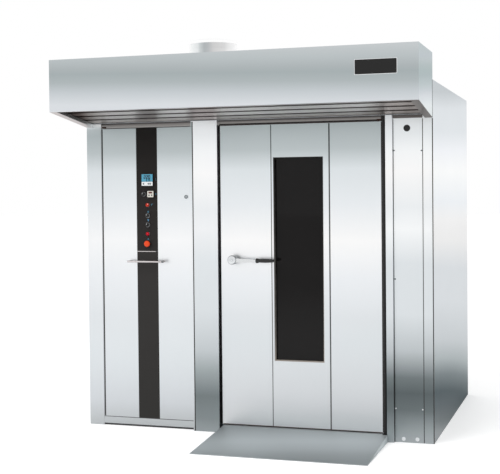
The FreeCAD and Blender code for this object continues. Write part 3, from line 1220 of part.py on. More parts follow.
# ---------------------------------------------------------------- service door
def control_cutouts():
    """Everything that passes through the black strip and the sheet behind it."""
    y_span = (FRONT_Y - SHEET, FRONT_Y + 3 * SHEET)
    long = y_span[1] - y_span[0]
    holes = [housing_block(CONTROL_X, CONTROLLER_MIDDLE, CONTROLLER_WIDE, CONTROLLER_HIGH, y_span, TOUCH),
             housing_block(timer_x(), TIMER_MIDDLE, TIMER_WIDE, TIMER_HIGH, y_span, TOUCH)]
    for x, z in switch_places() + pilot_places():
        holes.append(rod(Vector(x, y_span[0], z), BACKWARD, PILOT_DIAMETER + 2 * TOUCH, long))
    return holes


def timer_x():
    """Middle of the timer."""
    return SERVICE_LEFT + TIMER_AXIS


def knob_x():
    """Axis of the timer knob."""
    return SERVICE_LEFT + KNOB_AXIS


def switch_places():
    """Axes of the turning knobs and of the stop button."""
    return ((knob_x(), TIMER_MIDDLE), (CONTROL_X, SELECTOR_UPPER_HEIGHT), (CONTROL_X, SELECTOR_LOWER_HEIGHT),
            (CONTROL_X, STOP_HEIGHT))


def pilot_places():
    """Axes of the pilot lights."""
    return ((CONTROL_X, UPPER_PILOT_HEIGHT), (CONTROL_X, LOWER_PILOT_HEIGHT))


def housing_block(x, z, wide, high, y_span, gap):
    """Instrument housing behind its bezel, grown by a gap."""
    half_wide = wide / 2 - BEZEL_LIP + gap
    half_high = high / 2 - BEZEL_LIP + gap
    return block((x - half_wide, x + half_wide), y_span, (z - half_high, z + half_high))


def lock_hole(y_span):
    """Hole for the lock shaft through a span of Y."""
    start = Vector(SERVICE_RIGHT - LOCK_IN, y_span[0], LOCK_HEIGHT)
    return rod(start, BACKWARD, LOCK_SHAFT + 2 * PIN_RUN, y_span[1] - y_span[0])


def service_door_pan():
    """Stiffened sheet tray of the service door, open at the back, with its pivot pins."""
    x_span = (SERVICE_LEFT, SERVICE_RIGHT)
    z_span = (SERVICE_DOOR_LOW, DOOR_TOP)
    body = soft_block(x_span, (FRONT_Y + SHEET, SERVICE_BACK_Y), z_span, SHEET, UP)
    hollow = block(grown(x_span, -SHEET), (FRONT_Y + 2 * SHEET, SERVICE_BACK_Y - SHEET), grown(z_span, -SHEET))
    back_way = block(grown(x_span, -PANEL_RETURN), (FRONT_Y + 2 * SHEET, SERVICE_BACK_Y + SHEET),
                     grown(z_span, -PANEL_RETURN))
    pan = body.cut([hollow, back_way] + control_cutouts())
    pan = pan.cut(lock_hole((FRONT_Y, SERVICE_BACK_Y)))
    pins = []
    for start in (SERVICE_DOOR_LOW - SERVICE_PIN_LONG, DOOR_TOP):
        pins.append(rod(Vector(SERVICE_PIVOT_X, SERVICE_PIVOT_Y, start), UP, SERVICE_PIN, SERVICE_PIN_LONG))
    return pan.fuse(pins).removeSplitter()


def service_door_skins():
    """Left and right front sheets of the service door."""
    y_span = (FRONT_Y, FRONT_Y + SHEET)
    z_span = (SERVICE_DOOR_LOW, DOOR_TOP)
    left = block((SERVICE_LEFT, STRIP_X - STRIP_SEAM), y_span, z_span)
    right = block((STRIP_X + STRIP_WIDTH + STRIP_SEAM, SERVICE_RIGHT), y_span, z_span)
    return group([left, right.cut(lock_hole(y_span))])


def control_strip():
    """Black control fascia and the plain black sheet below it."""
    x_span = (STRIP_X, STRIP_X + STRIP_WIDTH)
    y_span = (FRONT_Y, FRONT_Y + SHEET)
    fascia = block(x_span, y_span, (STRIP_SPLIT + STRIP_SEAM / 2, DOOR_TOP)).cut(control_cutouts())
    lower = block(x_span, y_span, (SERVICE_DOOR_LOW, STRIP_SPLIT - STRIP_SEAM / 2))
    return group([fascia, lower])


def bar_handle():
    """Horizontal bar handle on two round feet."""
    left = SERVICE_LEFT + BAR_LEFT
    bar_y = FRONT_Y - BAR_STAND_OFF
    bar = rod(Vector(left, bar_y, BAR_HEIGHT), RIGHTWARD, BAR_DIAMETER, BAR_LONG)
    bar = bar.makeFillet(BAR_ROUND, [edge for edge in bar.Edges if edge.BoundBox.XLength < SHEET])
    feet = []
    for x in (left + BAR_FOOT_IN, left + BAR_LONG - BAR_FOOT_IN):
        feet.append(rod(Vector(x, bar_y, BAR_HEIGHT), BACKWARD, BAR_FOOT_DIAMETER, BAR_STAND_OFF))
        feet.append(rod(Vector(x, FRONT_Y - SHEET, BAR_HEIGHT), BACKWARD, BAR_WASHER, SHEET))
    return bar.fuse(feet)


def instrument(x, z, wide, high):
    """Panel instrument: rounded bezel with a sunk face, and its housing behind the panel."""
    bezel = soft_block((x - wide / 2, x + wide / 2), (FRONT_Y - BEZEL_PROUD, FRONT_Y),
                       (z - high / 2, z + high / 2), BEZEL_LIP, BACKWARD)
    face = block((x - wide / 2 + BEZEL_LIP, x + wide / 2 - BEZEL_LIP),
                 (FRONT_Y - BEZEL_PROUD, FRONT_Y - BEZEL_PROUD + SHEET),
                 (z - high / 2 + BEZEL_LIP, z + high / 2 - BEZEL_LIP))
    housing = housing_block(x, z, wide, high, (FRONT_Y, FRONT_Y + HOUSING_DEEP), 0)
    return bezel.cut(face).fuse(housing).removeSplitter()


def temperature_controller():
    """Square temperature controller."""
    return instrument(CONTROL_X, CONTROLLER_MIDDLE, CONTROLLER_WIDE, CONTROLLER_HIGH)


def timer():
    """Square baking timer."""
    return instrument(timer_x(), TIMER_MIDDLE, TIMER_WIDE, TIMER_HIGH)


def pilot_lights():
    """Pilot lights: ring, domed lens and barrel."""
    lights = []
    ring = SWITCH_BEZEL / 2
    lens = LENS_DIAMETER / 2
    for x, z in pilot_places():
        profile = [(0, -SWITCH_BODY_DEEP), (PILOT_DIAMETER / 2, -SWITCH_BODY_DEEP), (PILOT_DIAMETER / 2, 0),
                   (ring, 0), (ring, BEZEL_LIP / 2), (ring - BEZEL_LIP / 2, BEZEL_LIP), (lens, BEZEL_LIP),
                   (lens, BEZEL_PROUD), (lens * 2 / 3, BEZEL_PROUD + LENS_DOME * 2 / 3),
                   (0, BEZEL_PROUD + LENS_DOME)]
        lights.append(turned_along(profile, Vector(x, FRONT_Y, z), FORWARD))
    return group(lights)


def switch_bodies():
    """Rings, barrels and contact blocks of the turning switches and the stop button."""
    bodies = []
    for x, z in switch_places():
        ring = SWITCH_BEZEL / 2
        barrel = PILOT_DIAMETER / 2
        profile = [(0, -SWITCH_BODY_DEEP / 2), (barrel, -SWITCH_BODY_DEEP / 2), (barrel, 0), (ring, 0),
                   (ring, BEZEL_LIP / 2), (ring - BEZEL_LIP / 2, BEZEL_LIP), (0, BEZEL_LIP)]
        body = turned_along(profile, Vector(x, FRONT_Y, z), FORWARD)
        contact = block((x - ring, x + ring), (FRONT_Y + SWITCH_BODY_DEEP / 2, FRONT_Y + SWITCH_BODY_DEEP),
                        (z - ring, z + ring))
        stem = STOP_STEM if z == STOP_HEIGHT else KNOB_SHAFT
        bore = rod(Vector(x, FRONT_Y - BEZEL_LIP, z), BACKWARD, stem + 2 * PIN_RUN,
                   BEZEL_LIP + SWITCH_BODY_DEEP / 2 + SHEET)
        bodies.append(body.fuse(contact).cut(bore))
    return group(bodies)


def turning_knob(x, z, diameter):
    """Knob with a grip ridge, a pointer and a shaft."""
    radius = diameter / 2
    base = BEZEL_LIP + TOUCH
    top = base + KNOB_HIGH
    profile = [(0, base), (radius, base), (radius, base + KNOB_SKIRT),
               (radius - KNOB_TAPER, base + KNOB_SKIRT + KNOB_EASE), (radius - KNOB_TAPER, top - KNOB_EASE),
               (radius - KNOB_TAPER - KNOB_EASE, top), (0, top)]
    knob = turned_along(profile, Vector(x, FRONT_Y, z), FORWARD)
    ridge = block(grown((x, x), RIDGE_WIDE / 2), (FRONT_Y - top - RIDGE_PROUD, FRONT_Y - base),
                  grown((z, z), radius - KNOB_EASE / 2))
    shaft = rod(Vector(x, FRONT_Y - base, z), BACKWARD, KNOB_SHAFT, base + SWITCH_BODY_DEEP / 2)
    return knob.fuse([ridge, shaft]).removeSplitter()


def emergency_stop():
    """Mushroom push button on its stem."""
    radius = STOP_HEAD_DIAMETER / 2
    gap = BEZEL_LIP + STOP_TRAVEL + 2 * TOUCH
    stem = STOP_STEM / 2
    inside = SWITCH_BODY_DEEP / 2 - STOP_TRAVEL
    top = gap + STOP_HEAD_HIGH
    profile = [(0, -inside), (stem, -inside), (stem, gap), (STOP_NECK_DIAMETER / 2, gap),
               (radius, gap + STOP_BRIM), (radius, top - 2 * STOP_BRIM),
               (radius * 3 / 4, top - STOP_BRIM * 3 / 4), (radius / 3, top - STOP_BRIM / 8), (0, top)]
    return turned_along(profile, Vector(CONTROL_X, FRONT_Y, STOP_HEIGHT), FORWARD)


def service_lock():
    """Quarter-turn lock: slotted head, shaft and cam."""
    x = SERVICE_RIGHT - LOCK_IN
    cam_y = FRONT_Y + LOCK_TAB_BACK + 2 * SHEET
    head = rod(Vector(x, FRONT_Y - 2 * SHEET - TOUCH, LOCK_HEIGHT), BACKWARD, LOCK_DIAMETER, 2 * SHEET)
    slot = block(grown((x, x), LOCK_SLOT / 2), (FRONT_Y - 3 * SHEET, FRONT_Y - SHEET),
                 grown((LOCK_HEIGHT, LOCK_HEIGHT), SHEET / 2))
    shaft = rod(Vector(x, FRONT_Y - SHEET, LOCK_HEIGHT), BACKWARD, LOCK_SHAFT, cam_y - FRONT_Y + SHEET)
    half = LOCK_CAM_WIDE / 2
    cam = soft_block((x - half, x + half), (cam_y, cam_y + SHEET),
                     (LOCK_HEIGHT - half, LOCK_HEIGHT + LOCK_CAM_LONG), CAM_ROUND, BACKWARD)
    return head.cut(slot).fuse([shaft, cam]).removeSplitter()


# ---------------------------------------------------------------- all pieces
def pieces():
    """Every named piece of the oven."""
    return {
        "base_tray": base_tray(),
        "ramp": ramp(),
        "left_side_panel": side_panel(-1),
        "right_side_panel": side_panel(1),
        "rear_panel": rear_panel(),
        "roof_panel": roof_panel(),
        "left_post": left_post(),
        "middle_pillar": middle_pillar(),
        "latch_keeper": latch_keeper(),
        "right_post": right_post(),
        "right_front_panel": right_front_panel(),
        "front_header": front_header(),
        "kick_plate": kick_plate(),
        "door_bearings": door_bearings(),
        "chamber_floor": chamber_floor(),
        "chamber_right_wall": chamber_right_wall(),
        "chamber_rear_wall": chamber_rear_wall(),
        "chamber_ceiling": chamber_ceiling(),
        "heat_space_wall": heat_space_wall(),
        "air_duct_wall": air_duct_wall(),
        "supply_duct": supply_duct(),
        "door_frame": door_frame(),
        "frame_gasket": frame_gasket(),
        "insulation": insulation(),
        "service_partition": service_partition(),
        "contactors": contactors(),
        "heater_bank": heater_bank(),
        "steam_cascade": steam_cascade(),
        "fan_inlet_plate": fan_inlet_plate(),
        "fan_wheel": fan_wheel(),
        "fan_motor": fan_motor(),
        "rotation_bearing": rotation_bearing(),
        "rack_carrier": rack_carrier(),
        "rotation_gearmotor": rotation_gearmotor(),
        "vent_pipe": vent_pipe(),
        "vent_damper": vent_damper(),
        "hood_shell": hood_shell(),
        "hood_slats": hood_slats(),
        "hood_spigot": hood_spigot(),
        "door_pan": door_pan(),
        "door_skins": door_skins(),
        "window_panel": window_panel(),
        "door_glass": door_glass(),
        "hinge_tube": hinge_tube(),
        "handle_rosette": handle_rosette(),
        "door_lever": door_lever(),
        "lever_grip": lever_grip(),
        "service_door_pan": service_door_pan(),
        "service_door_skins": service_door_skins(),
        "control_strip": control_strip(),
        "bar_handle": bar_handle(),
        "temperature_controller": temperature_controller(),
        "timer": timer(),
        "pilot_lights": pilot_lights(),
        "switch_bodies": switch_bodies(),
        "timer_knob": turning_knob(knob_x(), TIMER_MIDDLE, TIMER_KNOB_DIAMETER),
        "selector_upper": turning_knob(CONTROL_X, SELECTOR_UPPER_HEIGHT, KNOB_DIAMETER),
        "selector_lower": turning_knob(CONTROL_X, SELECTOR_LOWER_HEIGHT, KNOB_DIAMETER),
        "emergency_stop": emergency_stop(),
        "service_lock": service_lock(),
    }


os.makedirs("parts", exist_ok=True)
for piece_name, piece_shape in pieces().items():
    save(piece_name, piece_shape)
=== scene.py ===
"""Dresses the rotating rack oven: a finish for every sheet, and the small fittings that the eye looks for.

The model's own frame has X to the right seen from the front, Y back and Z up, with the origin on the floor.
Sizes of fittings are in millimetres and turned to metres where a mesh is made. Colour bands are placed in
metres.
"""
import logging
import math
from abc import ABC, abstractmethod
from collections.abc import Iterable, Sequence
from dataclasses import dataclass
from enum import Enum
from functools import cache

import bmesh
import bpy
from mathutils import Matrix, Vector


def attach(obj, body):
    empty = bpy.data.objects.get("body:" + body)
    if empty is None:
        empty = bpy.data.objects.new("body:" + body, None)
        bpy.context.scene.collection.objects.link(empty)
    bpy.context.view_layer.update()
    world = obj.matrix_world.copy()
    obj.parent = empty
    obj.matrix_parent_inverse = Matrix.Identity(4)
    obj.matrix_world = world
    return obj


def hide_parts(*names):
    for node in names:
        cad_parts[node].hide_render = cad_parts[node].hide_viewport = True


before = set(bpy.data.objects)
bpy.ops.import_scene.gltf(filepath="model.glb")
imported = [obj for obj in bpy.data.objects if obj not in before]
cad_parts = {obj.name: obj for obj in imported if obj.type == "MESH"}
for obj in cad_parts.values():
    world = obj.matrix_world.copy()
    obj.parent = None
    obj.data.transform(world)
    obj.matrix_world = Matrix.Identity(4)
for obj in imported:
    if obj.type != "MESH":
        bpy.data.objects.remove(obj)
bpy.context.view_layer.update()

LOG = logging.getLogger("rack_oven")
MM = 0.001
# Planes of the doors and of the hood's fascia, mm.
FRONT_Y = -825.0
FASCIA_Y = -1320.0
# Points closer than the first are one point, and edges shorter than the second are dropped, m.
SAME_POINT = 1e-7
NO_EDGE = 1e-8
SMOOTH_BELOW = math.radians(35)
DEBURRED_ABOVE = math.radians(40)

Node = bpy.types.Node
Piece = bpy.types.Object
Socket = bpy.types.NodeSocket
Tree = bpy.types.NodeTree
Outline = Sequence[tuple[float, float]]
Zones = tuple[tuple[float, str], ...]


class Body(Enum):
    """Rigid bodies of the oven that a piece can ride on."""

    CASING = "root"
    OVEN_DOOR = "oven_door"
    LEVER = "lever"
    SERVICE_DOOR = "service_door"
    TIMER_DIAL = "timer_dial"
    UPPER_DIAL = "upper_dial"
    LOWER_DIAL = "lower_dial"
    STOP_BUTTON = "stop_button"
    LOCK = "lock"

class Axis(Enum):
    """One of the model's directions, in which a sheet is brushed or a face turns."""

    ACROSS = 0
    DEEP = 1
    UPRIGHT = 2


def linear(code: str) -> tuple[float, float, float, float]:
    """Turns an sRGB hex colour into linear red, green, blue and alpha.

    Args:
        code: six hex digits, such as "C0C4C6".

    Returns:
        The linear colour with full alpha.
    """
    parts = []
    for start in (0, 2, 4):
        value = int(code[start:start + 2], 16) / 255
        parts.append(value / 12.92 if value <= 0.04045 else ((value + 0.055) / 1.055) ** 2.4)
    return (parts[0], parts[1], parts[2], 1.0)

def add_node(tree: Tree, kind: str, sockets: dict | None = None, **settings: object) -> Node:
    """Adds one node with its settings, socket values and links.

    Args:
        tree: node tree that gets the node.
        kind: Blender's name of the node type.
        sockets: value or source socket for each input, by name or number.
        settings: attributes of the node itself.

    Returns:
        The new node.
    """
    made = tree.nodes.new(kind)
    for key, value in settings.items():
        setattr(made, key, value)
    for key, value in (sockets or {}).items():
        if isinstance(value, bpy.types.NodeSocket):
            tree.links.new(value, made.inputs[key])
        else:
            made.inputs[key].default_value = value
    return made


# ---------------------------------------------------------------- finishes
@dataclass(frozen=True)
class Bands:
    """Soft bands of colour along one direction, which may fan out towards the back.

    Each zone is a place along the run, in metres, with the sRGB hex colour there.
    """

    zones: Zones
    run: tuple[float, float, float] = (0.0, 0.0, 1.0)
    fan: float = 0.0

    def colour(self, tree: Tree) -> Socket:
        """Adds the bands to a finish.

        Args:
            tree: node tree of the finish.

        Returns:
            Socket with the colour.
        """
        place = add_node(tree, "ShaderNodeTexCoord").outputs["Object"]
        along = add_node(tree, "ShaderNodeVectorMath", {0: place, 1: self.run}, operation="DOT_PRODUCT")
        value = along.outputs["Value"]
        if self.fan:
            split = add_node(tree, "ShaderNodeSeparateXYZ", {0: place})
            area = add_node(tree, "ShaderNodeMath", {0: split.outputs[1], 1: split.outputs[2]},
                            operation="MULTIPLY")
            value = add_node(tree, "ShaderNodeMath", {0: area.outputs[0], 1: -self.fan, 2: value},
                             operation="MULTIPLY_ADD").outputs[0]
        low, high = self.zones[0][0], self.zones[-1][0]
        share = add_node(tree, "ShaderNodeMapRange", {"Value": value, "From Min": low, "From Max": high})
        ramp = add_node(tree, "ShaderNodeValToRGB", {0: share.outputs["Result"]})
        stops = ramp.color_ramp.elements
        while len(stops) < len(self.zones):
            stops.new(0.5)
        for index, (place_along, _) in enumerate(self.zones):
            stops[index].position = (place_along - low) / (high - low)
        for stop, (_, code) in zip(stops, self.zones):
            stop.color = linear(code)
        return ramp.outputs["Color"]


@dataclass(frozen=True)
class Finish(ABC):
    """One surface finish, which makes its material once."""

    name: str

    def material(self) -> bpy.types.Material:
        """Makes the material.

        Returns:
            The material with its surface.
        """
        made = bpy.data.materials.new(self.name)
        made.use_nodes = True
        self.surface(made.node_tree, made.node_tree.nodes["Principled BSDF"])
        return made

    @abstractmethod
    def surface(self, tree: Tree, shader: Node) -> None:
        """Gives the surface shader its colour, gloss and relief.

        Args:
            tree: node tree of the finish.
            shader: surface shader.
        """

    def mottle(self, tree: Tree, spot: Sequence[float], detail: float = 2.0) -> Socket:
        """Adds soft random spots of a real size.

        Args:
            tree: node tree of the finish.
            spot: size of a spot along X, Y and Z, mm.
            detail: how many finer layers the spots have.

        Returns:
            Socket that runs from 0 to 1 around 0.5.
        """
        place = add_node(tree, "ShaderNodeTexCoord").outputs["Object"]
        scaled = add_node(tree, "ShaderNodeMapping",
                          {"Vector": place, "Scale": [1 / (MM * size) for size in spot]})
        return add_node(tree, "ShaderNodeTexNoise", {"Vector": scaled.outputs["Vector"], "Scale": 1.0,
                                                     "Detail": detail}).outputs["Fac"]

    def between(self, tree: Tree, spots: Socket, low: float, high: float) -> Socket:
        """Spreads soft spots, which mostly lie between a quarter and three quarters, over two values.

        Args:
            tree: node tree of the finish.
            spots: the spots.
            low: value in the darkest spots.
            high: value in the lightest spots.

        Returns:
            Socket with the spread value.
        """
        return add_node(tree, "ShaderNodeMapRange", {"Value": spots, "From Min": 0.25, "From Max": 0.75,
                                                     "To Min": low, "To Max": high}).outputs["Result"]

    def shaded(self, tree: Tree, colour: object, shade: Socket) -> Socket:
        """Multiplies a colour by a shade.

        Args:
            tree: node tree of the finish.
            colour: linear colour or a socket with one.
            shade: grey value or colour.

        Returns:
            Socket with the product.
        """
        return add_node(tree, "ShaderNodeMix", {0: 1.0, 6: colour, 7: shade}, data_type="RGBA",
                        blend_type="MULTIPLY").outputs[2]

    def facing(self, tree: Tree, colour: object, other: object, way: Axis, start: float, full: float,
               both_sides: bool = False) -> Socket:
        """Changes a colour to another one on the faces that turn one way.

        Args:
            tree: node tree of the finish.
            colour: linear colour or a socket with one.
            other: the same for the faces that turn.
            way: direction that the normal is measured along.
            start: part of the normal at which the other colour sets in.
            full: part of the normal from which it is alone.
            both_sides: whether the opposite faces get it too.

        Returns:
            Socket with the mixed colour.
        """
        normal = add_node(tree, "ShaderNodeTexCoord").outputs["Normal"]
        part = add_node(tree, "ShaderNodeSeparateXYZ", {0: normal}).outputs[way.value]
        if both_sides:
            part = add_node(tree, "ShaderNodeMath", {0: part}, operation="ABSOLUTE").outputs[0]
        turned = add_node(tree, "ShaderNodeMapRange", {"Value": part, "From Min": start, "From Max": full})
        return add_node(tree, "ShaderNodeMix", {0: turned.outputs["Result"], 6: colour, 7: other},
                        data_type="RGBA").outputs[2]

    def raised(self, tree: Tree, shader: Node, height: Socket, depth: float) -> None:
        """Gives the surface a small relief.

        Args:
            tree: node tree of the finish.
            shader: surface shader.
            height: relief between 0 and 1.
            depth: height of the relief, mm.
        """
        bump = add_node(tree, "ShaderNodeBump", {"Height": height, "Distance": depth * MM})
        tree.links.new(bump.outputs["Normal"], shader.inputs["Normal"])


@cache
def material_of(finish: Finish) -> bpy.types.Material:
    """Gives the one material of a finish."""
    return finish.material()


@dataclass(frozen=True)
class BrushedSheet(Finish):
    """Cold-rolled stainless sheet, brushed with an abrasive belt.

    The belt leaves fine parallel lines that spread reflections across them. The broad soft bands of light and
    dark on a large sheet are painted reflections and shade in its colour. A second set of bands darkens the
    first with painted shade, and below and flank hold the painted bands of faces that turn down or sideways.
    """

    bands: Bands
    brushed: Axis = Axis.UPRIGHT
    roughness: float = 0.30
    roughness_spread: float = 0.02
    streak: float = 0.004
    line_wide: float = 5.0
    line_long: float = 600.0
    line_depth: float = 0.006
    cloud: tuple[float, float, float] = (420.0, 420.0, 260.0)
    cloud_shade: float = 0.985
    painted_shade: Bands | None = None
    below: Bands | None = None
    flank: Bands | None = None
    keeps_tone: bool = False

    def surface(self, tree: Tree, shader: Node) -> None:
        """Gives the sheet its bands, its brushed lines and soft clouds.

        Args:
            tree: node tree of the finish.
            shader: surface shader.
        """
        # The real lines are under 0.2 mm wide; they are drawn about 5 mm wide, the least that a picture of
        # the whole oven can show.
        size = [self.line_wide] * 3
        size[self.brushed.value] = self.line_long
        lines = self.mottle(tree, size)
        clouds = self.mottle(tree, self.cloud, 1.0)
        colour = self.bands.colour(tree)
        # Painted shade: a second set of bands darkens the first.
        if self.painted_shade:
            colour = self.shaded(tree, colour, self.painted_shade.colour(tree))
        # Painted shade and reflections on the faces that turn down or sideways.
        if self.below:
            colour = self.facing(tree, colour, self.below.colour(tree), Axis.UPRIGHT, -0.3, -0.8)
        if self.flank:
            colour = self.facing(tree, colour, self.flank.colour(tree), Axis.ACROSS, 0.5, 0.9,
                                 both_sides=True)
        colour = self.shaded(tree, colour, self.between(tree, lines, 1 - self.streak, 1 + self.streak / 2))
        colour = self.shaded(tree, colour, self.between(tree, clouds, self.cloud_shade, 1.0))
        tree.links.new(colour, shader.inputs["Base Color"])
        if self.keeps_tone:
            # The painted bands also tint the reflection seen along the surface, so the sheet stays grey there,
            # where the plain shader would turn white.
            edge = add_node(tree, "ShaderNodeGamma", {"Color": colour, "Gamma": 0.5})
            tree.links.new(edge.outputs["Color"], shader.inputs["Specular Tint"])
        tree.links.new(self.between(tree, lines, self.roughness - self.roughness_spread,
                                    self.roughness + self.roughness_spread), shader.inputs["Roughness"])
        shader.inputs["Metallic"].default_value = 1.0
        self.raised(tree, shader, lines, self.line_depth)


@dataclass(frozen=True)
class SpottedFinish(Finish):
    """Surface of one tone or of soft bands, with small spots in its colour, gloss and relief."""

    tone: str = "202122"
    roughness: float = 0.45
    spot: float = 1.5
    variation: float = 0.08
    depth: float = 0.02
    gloss_spread: float = 0.15
    bands: Bands | None = None
    # sRGB colour of painted shade on the faces that turn away from the front.
    rim: str | None = None

    def spotted(self, tree: Tree, shader: Node) -> Socket:
        """Gives the surface its spotted colour, gloss and relief.

        Args:
            tree: node tree of the finish.
            shader: surface shader.

        Returns:
            Socket with the colour.
        """
        spots = self.mottle(tree, (self.spot,) * 3, 3.0)
        tone: object = self.bands.colour(tree) if self.bands else linear(self.tone)
        # Painted shade on the faces that turn away from the front.
        if self.rim:
            tone = self.facing(tree, tone, linear(self.rim), Axis.DEEP, -0.9, -0.35)
        colour = self.shaded(tree, tone, self.between(tree, spots, 1 - self.variation, 1.0))
        tree.links.new(colour, shader.inputs["Base Color"])
        gloss = self.between(tree, spots, self.roughness * (1 - self.gloss_spread),
                             min(1.0, self.roughness * (1 + self.gloss_spread)))
        tree.links.new(gloss, shader.inputs["Roughness"])
        self.raised(tree, shader, spots, self.depth)
        return colour


@dataclass(frozen=True)
class PlainMetal(SpottedFinish):
    """Metal with one tone: turned, cast or drawn, with handling marks in its gloss."""

    roughness: float = 0.2
    spot: float = 3.0
    variation: float = 0.05
    gloss_spread: float = 0.2

    def surface(self, tree: Tree, shader: Node) -> None:
        """Makes the spotted surface metallic."""
        self.spotted(tree, shader)
        shader.inputs["Metallic"].default_value = 1.0


@dataclass(frozen=True)
class Coating(SpottedFinish):
    """Paint, plastic, rubber or another surface that isn't bare metal."""

    specular: float = 0.5
    glow: float = 0.0

    def surface(self, tree: Tree, shader: Node) -> None:
        """Gives the spotted surface its sheen and its own light, that of a screen or display lit from behind,
        or a painted highlight that glows.

        Args:
            tree: node tree of the finish.
            shader: surface shader.
        """
        colour = self.spotted(tree, shader)
        shader.inputs["Specular IOR Level"].default_value = self.specular
        if self.glow:
            tree.links.new(colour, shader.inputs["Emission Color"])
            shader.inputs["Emission Strength"].default_value = self.glow


@dataclass(frozen=True)
class DarkGlass(Finish):
    """Toughened float glass, body-tinted and fired, which looks black in front of an unlit chamber."""

    tone: str = "151313"
    roughness: float = 0.04
    refraction: float = 1.52
    specular: float = 0.05
    clear: float = 0.25
    wave: tuple[float, float, float] = (300.0, 300.0, 90.0)
    wave_depth: float = 0.05

    def surface(self, tree: Tree, shader: Node) -> None:
        """Gives the glass its dark tone and the faint waviness that rollers leave, 90 mm from crest to crest.

        Args:
            tree: node tree of the finish.
            shader: surface shader.
        """
        waves = self.mottle(tree, self.wave, 0.0)
        colour = self.shaded(tree, linear(self.tone), self.between(tree, waves, 0.92, 1.0))
        tree.links.new(colour, shader.inputs["Base Color"])
        for socket, value in (("Roughness", self.roughness), ("IOR", self.refraction),
                              ("Specular IOR Level", self.specular), ("Transmission Weight", self.clear)):
            shader.inputs[socket].default_value = value
        self.raised(tree, shader, waves, self.wave_depth)


# Painted reflections and shade: the doors and the left post are bright at hand height, and greyer towards the
# hood and the floor.
UNDER_HOOD: Zones = ((1.40, "EEF2F5"), (1.61, "E2E8EB"), (1.73, "BFC7C9"), (1.87, "B1BABC"))
DOOR_SHEET = BrushedSheet("stainless_sheet_brushed_doors", Bands((
    (0.03, "C3C7C9"), (0.16, "D1D5D9"), (0.45, "DADFE2"), (0.70, "E1E5E8"), (0.95, "EFF2F5"), (1.18, "FDFEFF"),
    *UNDER_HOOD)))
OVEN_DOOR_SHEET = BrushedSheet("stainless_sheet_brushed_oven_door", Bands((
    (0.05, "D9DBDD"), (0.10, "D8DBDD"), (0.20, "D6D9DC"), (0.40, "D7DBDE"), (0.58, "DADFE2"), (0.72, "DFE3E6"),
    (0.95, "EFF2F5"), (1.18, "FFFFFF"), *UNDER_HOOD)))
LEFT_POST_SHEET = BrushedSheet("stainless_sheet_brushed_left_post", Bands(DOOR_SHEET.bands.zones[:-1] + (
    (1.84, "AFB8BA"), (1.878, "B6BEC0"), (1.893, "D2DADC"), (1.905, "FFFFFF"))))
# Posts, corner and side sheets: painted reflections, almost white high up, with a dark band low down.
POST_SHEET = BrushedSheet("stainless_sheet_brushed_posts", Bands((
    (0.0, "B4BABD"), (0.10, "949C9E"), (0.19, "6E7678"), (0.29, "5F6769"), (0.38, "737B7D"), (0.54, "BDC3C6"),
    (0.75, "DCE1E4"), (1.05, "E2E7EA"), (1.25, "FCFEFF"), (1.38, "F2F5F7"), (1.59, "FFFFFF"), (1.70, "FBFDFE"),
    (1.81, "EEF2F4"))))
# The side sheets' painted reflections fan out towards the back: they fall near the floor and rise near the
# roof.
SIDE_FLANK = Bands((
    (-0.10, "C0C4C6"), (-0.02, "979EA0"), (0.08, "7D868A"), (0.17, "6A7579"), (0.28, "939DA0"),
    (0.38, "C6CED0"), (0.50, "DEE3E6"), (0.76, "EDF1F4"), (0.97, "EEF2F5"), (1.15, "FFFFFF"),
    (1.28, "FFFFFF"), (1.40, "F6F9FC"), (1.60, "FEFFFF"), (1.73, "F6F8FB"), (1.85, "E8ECEF"),
    (2.00, "E5E9EC"), (2.11, "CED3D6")),
    run=(0.0, 0.207, 1.0), fan=0.139)
SIDE_SHEET = BrushedSheet("stainless_sheet_brushed_sides", POST_SHEET.bands, keeps_tone=True,
                          flank=SIDE_FLANK)
# The pillar's painted reflections: a dark band low down, almost white high up.
PILLAR_SHEET = BrushedSheet("stainless_sheet_brushed_pillar", Bands((
    (0.0, "A4ABAE"), (0.08, "899193"), (0.22, "767E80"), (0.38, "9DA5A7"), (0.50, "BFC5C8"), (0.75, "DADFE2"),
    (1.05, "E5EAED"), (1.25, "F6F8FA"), (1.37, "F2F5F7"), (1.59, "FFFFFF"), (1.72, "FBFDFE"),
    (1.83, "F2F5F7"))))
# Painted reflections: the bands of the fascia rise a little towards its left end, and those of the cheeks
# towards the back.
HOOD_FASCIA = Bands((
    (1.97, "DEE2E6"), (2.04, "CAD0D4"), (2.10, "B3BBBD"), (2.15, "AAB3B5"), (2.18, "B1B8BA"),
    (2.205, "B7BEC0"), (2.232, "BDC4C6"), (2.26, "C2C8CA"), (2.29, "C8CDCF")), run=(0.031, 0.0, 1.0))
HOOD_CHEEK = Bands((
    (2.055, "EAEFF0"), (2.083, "E3E8EB"), (2.111, "DDE1E5"), (2.138, "D2D8DC"), (2.166, "C8D1D3"),
    (2.194, "C1CBCD"), (2.222, "B9C4C6"), (2.25, "B9C5C6"), (2.278, "BEC8C9"), (2.305, "C6CED0"),
    (2.334, "C8CFD3"), (2.362, "C8D0D2")), run=(0.0, -0.1, 1.0))
# Painted shade: the hood's faces that turn down darken towards the right.
HOOD_SHEET = BrushedSheet("stainless_sheet_brushed_hood", HOOD_FASCIA, Axis.ACROSS, keeps_tone=True,
                          below=Bands(((-1.1, "DAD5D4"), (1.1, "8E8A88")), run=(1.0, 0.0, 0.0)),
                          flank=HOOD_CHEEK)


def slat_zones(light: str, dark: str) -> Zones:
    """Shades the hood's slats: a light middle between two folded edges that lie in the dark.

    Args:
        light: sRGB hex colour of the middle.
        dark: sRGB hex colour of the folded edges.

    Returns:
        Zones from the front slat to the rear one, m.
    """
    front, pitch, wide, rim = -1.284, 0.11425, 0.10025, 0.019
    zones: list[tuple[float, str]] = []
    for index in range(4):
        near = front + index * pitch
        zones += [(near, dark), (near + rim, light), (near + wide - rim, light), (near + wide, dark)]
    return tuple(zones)
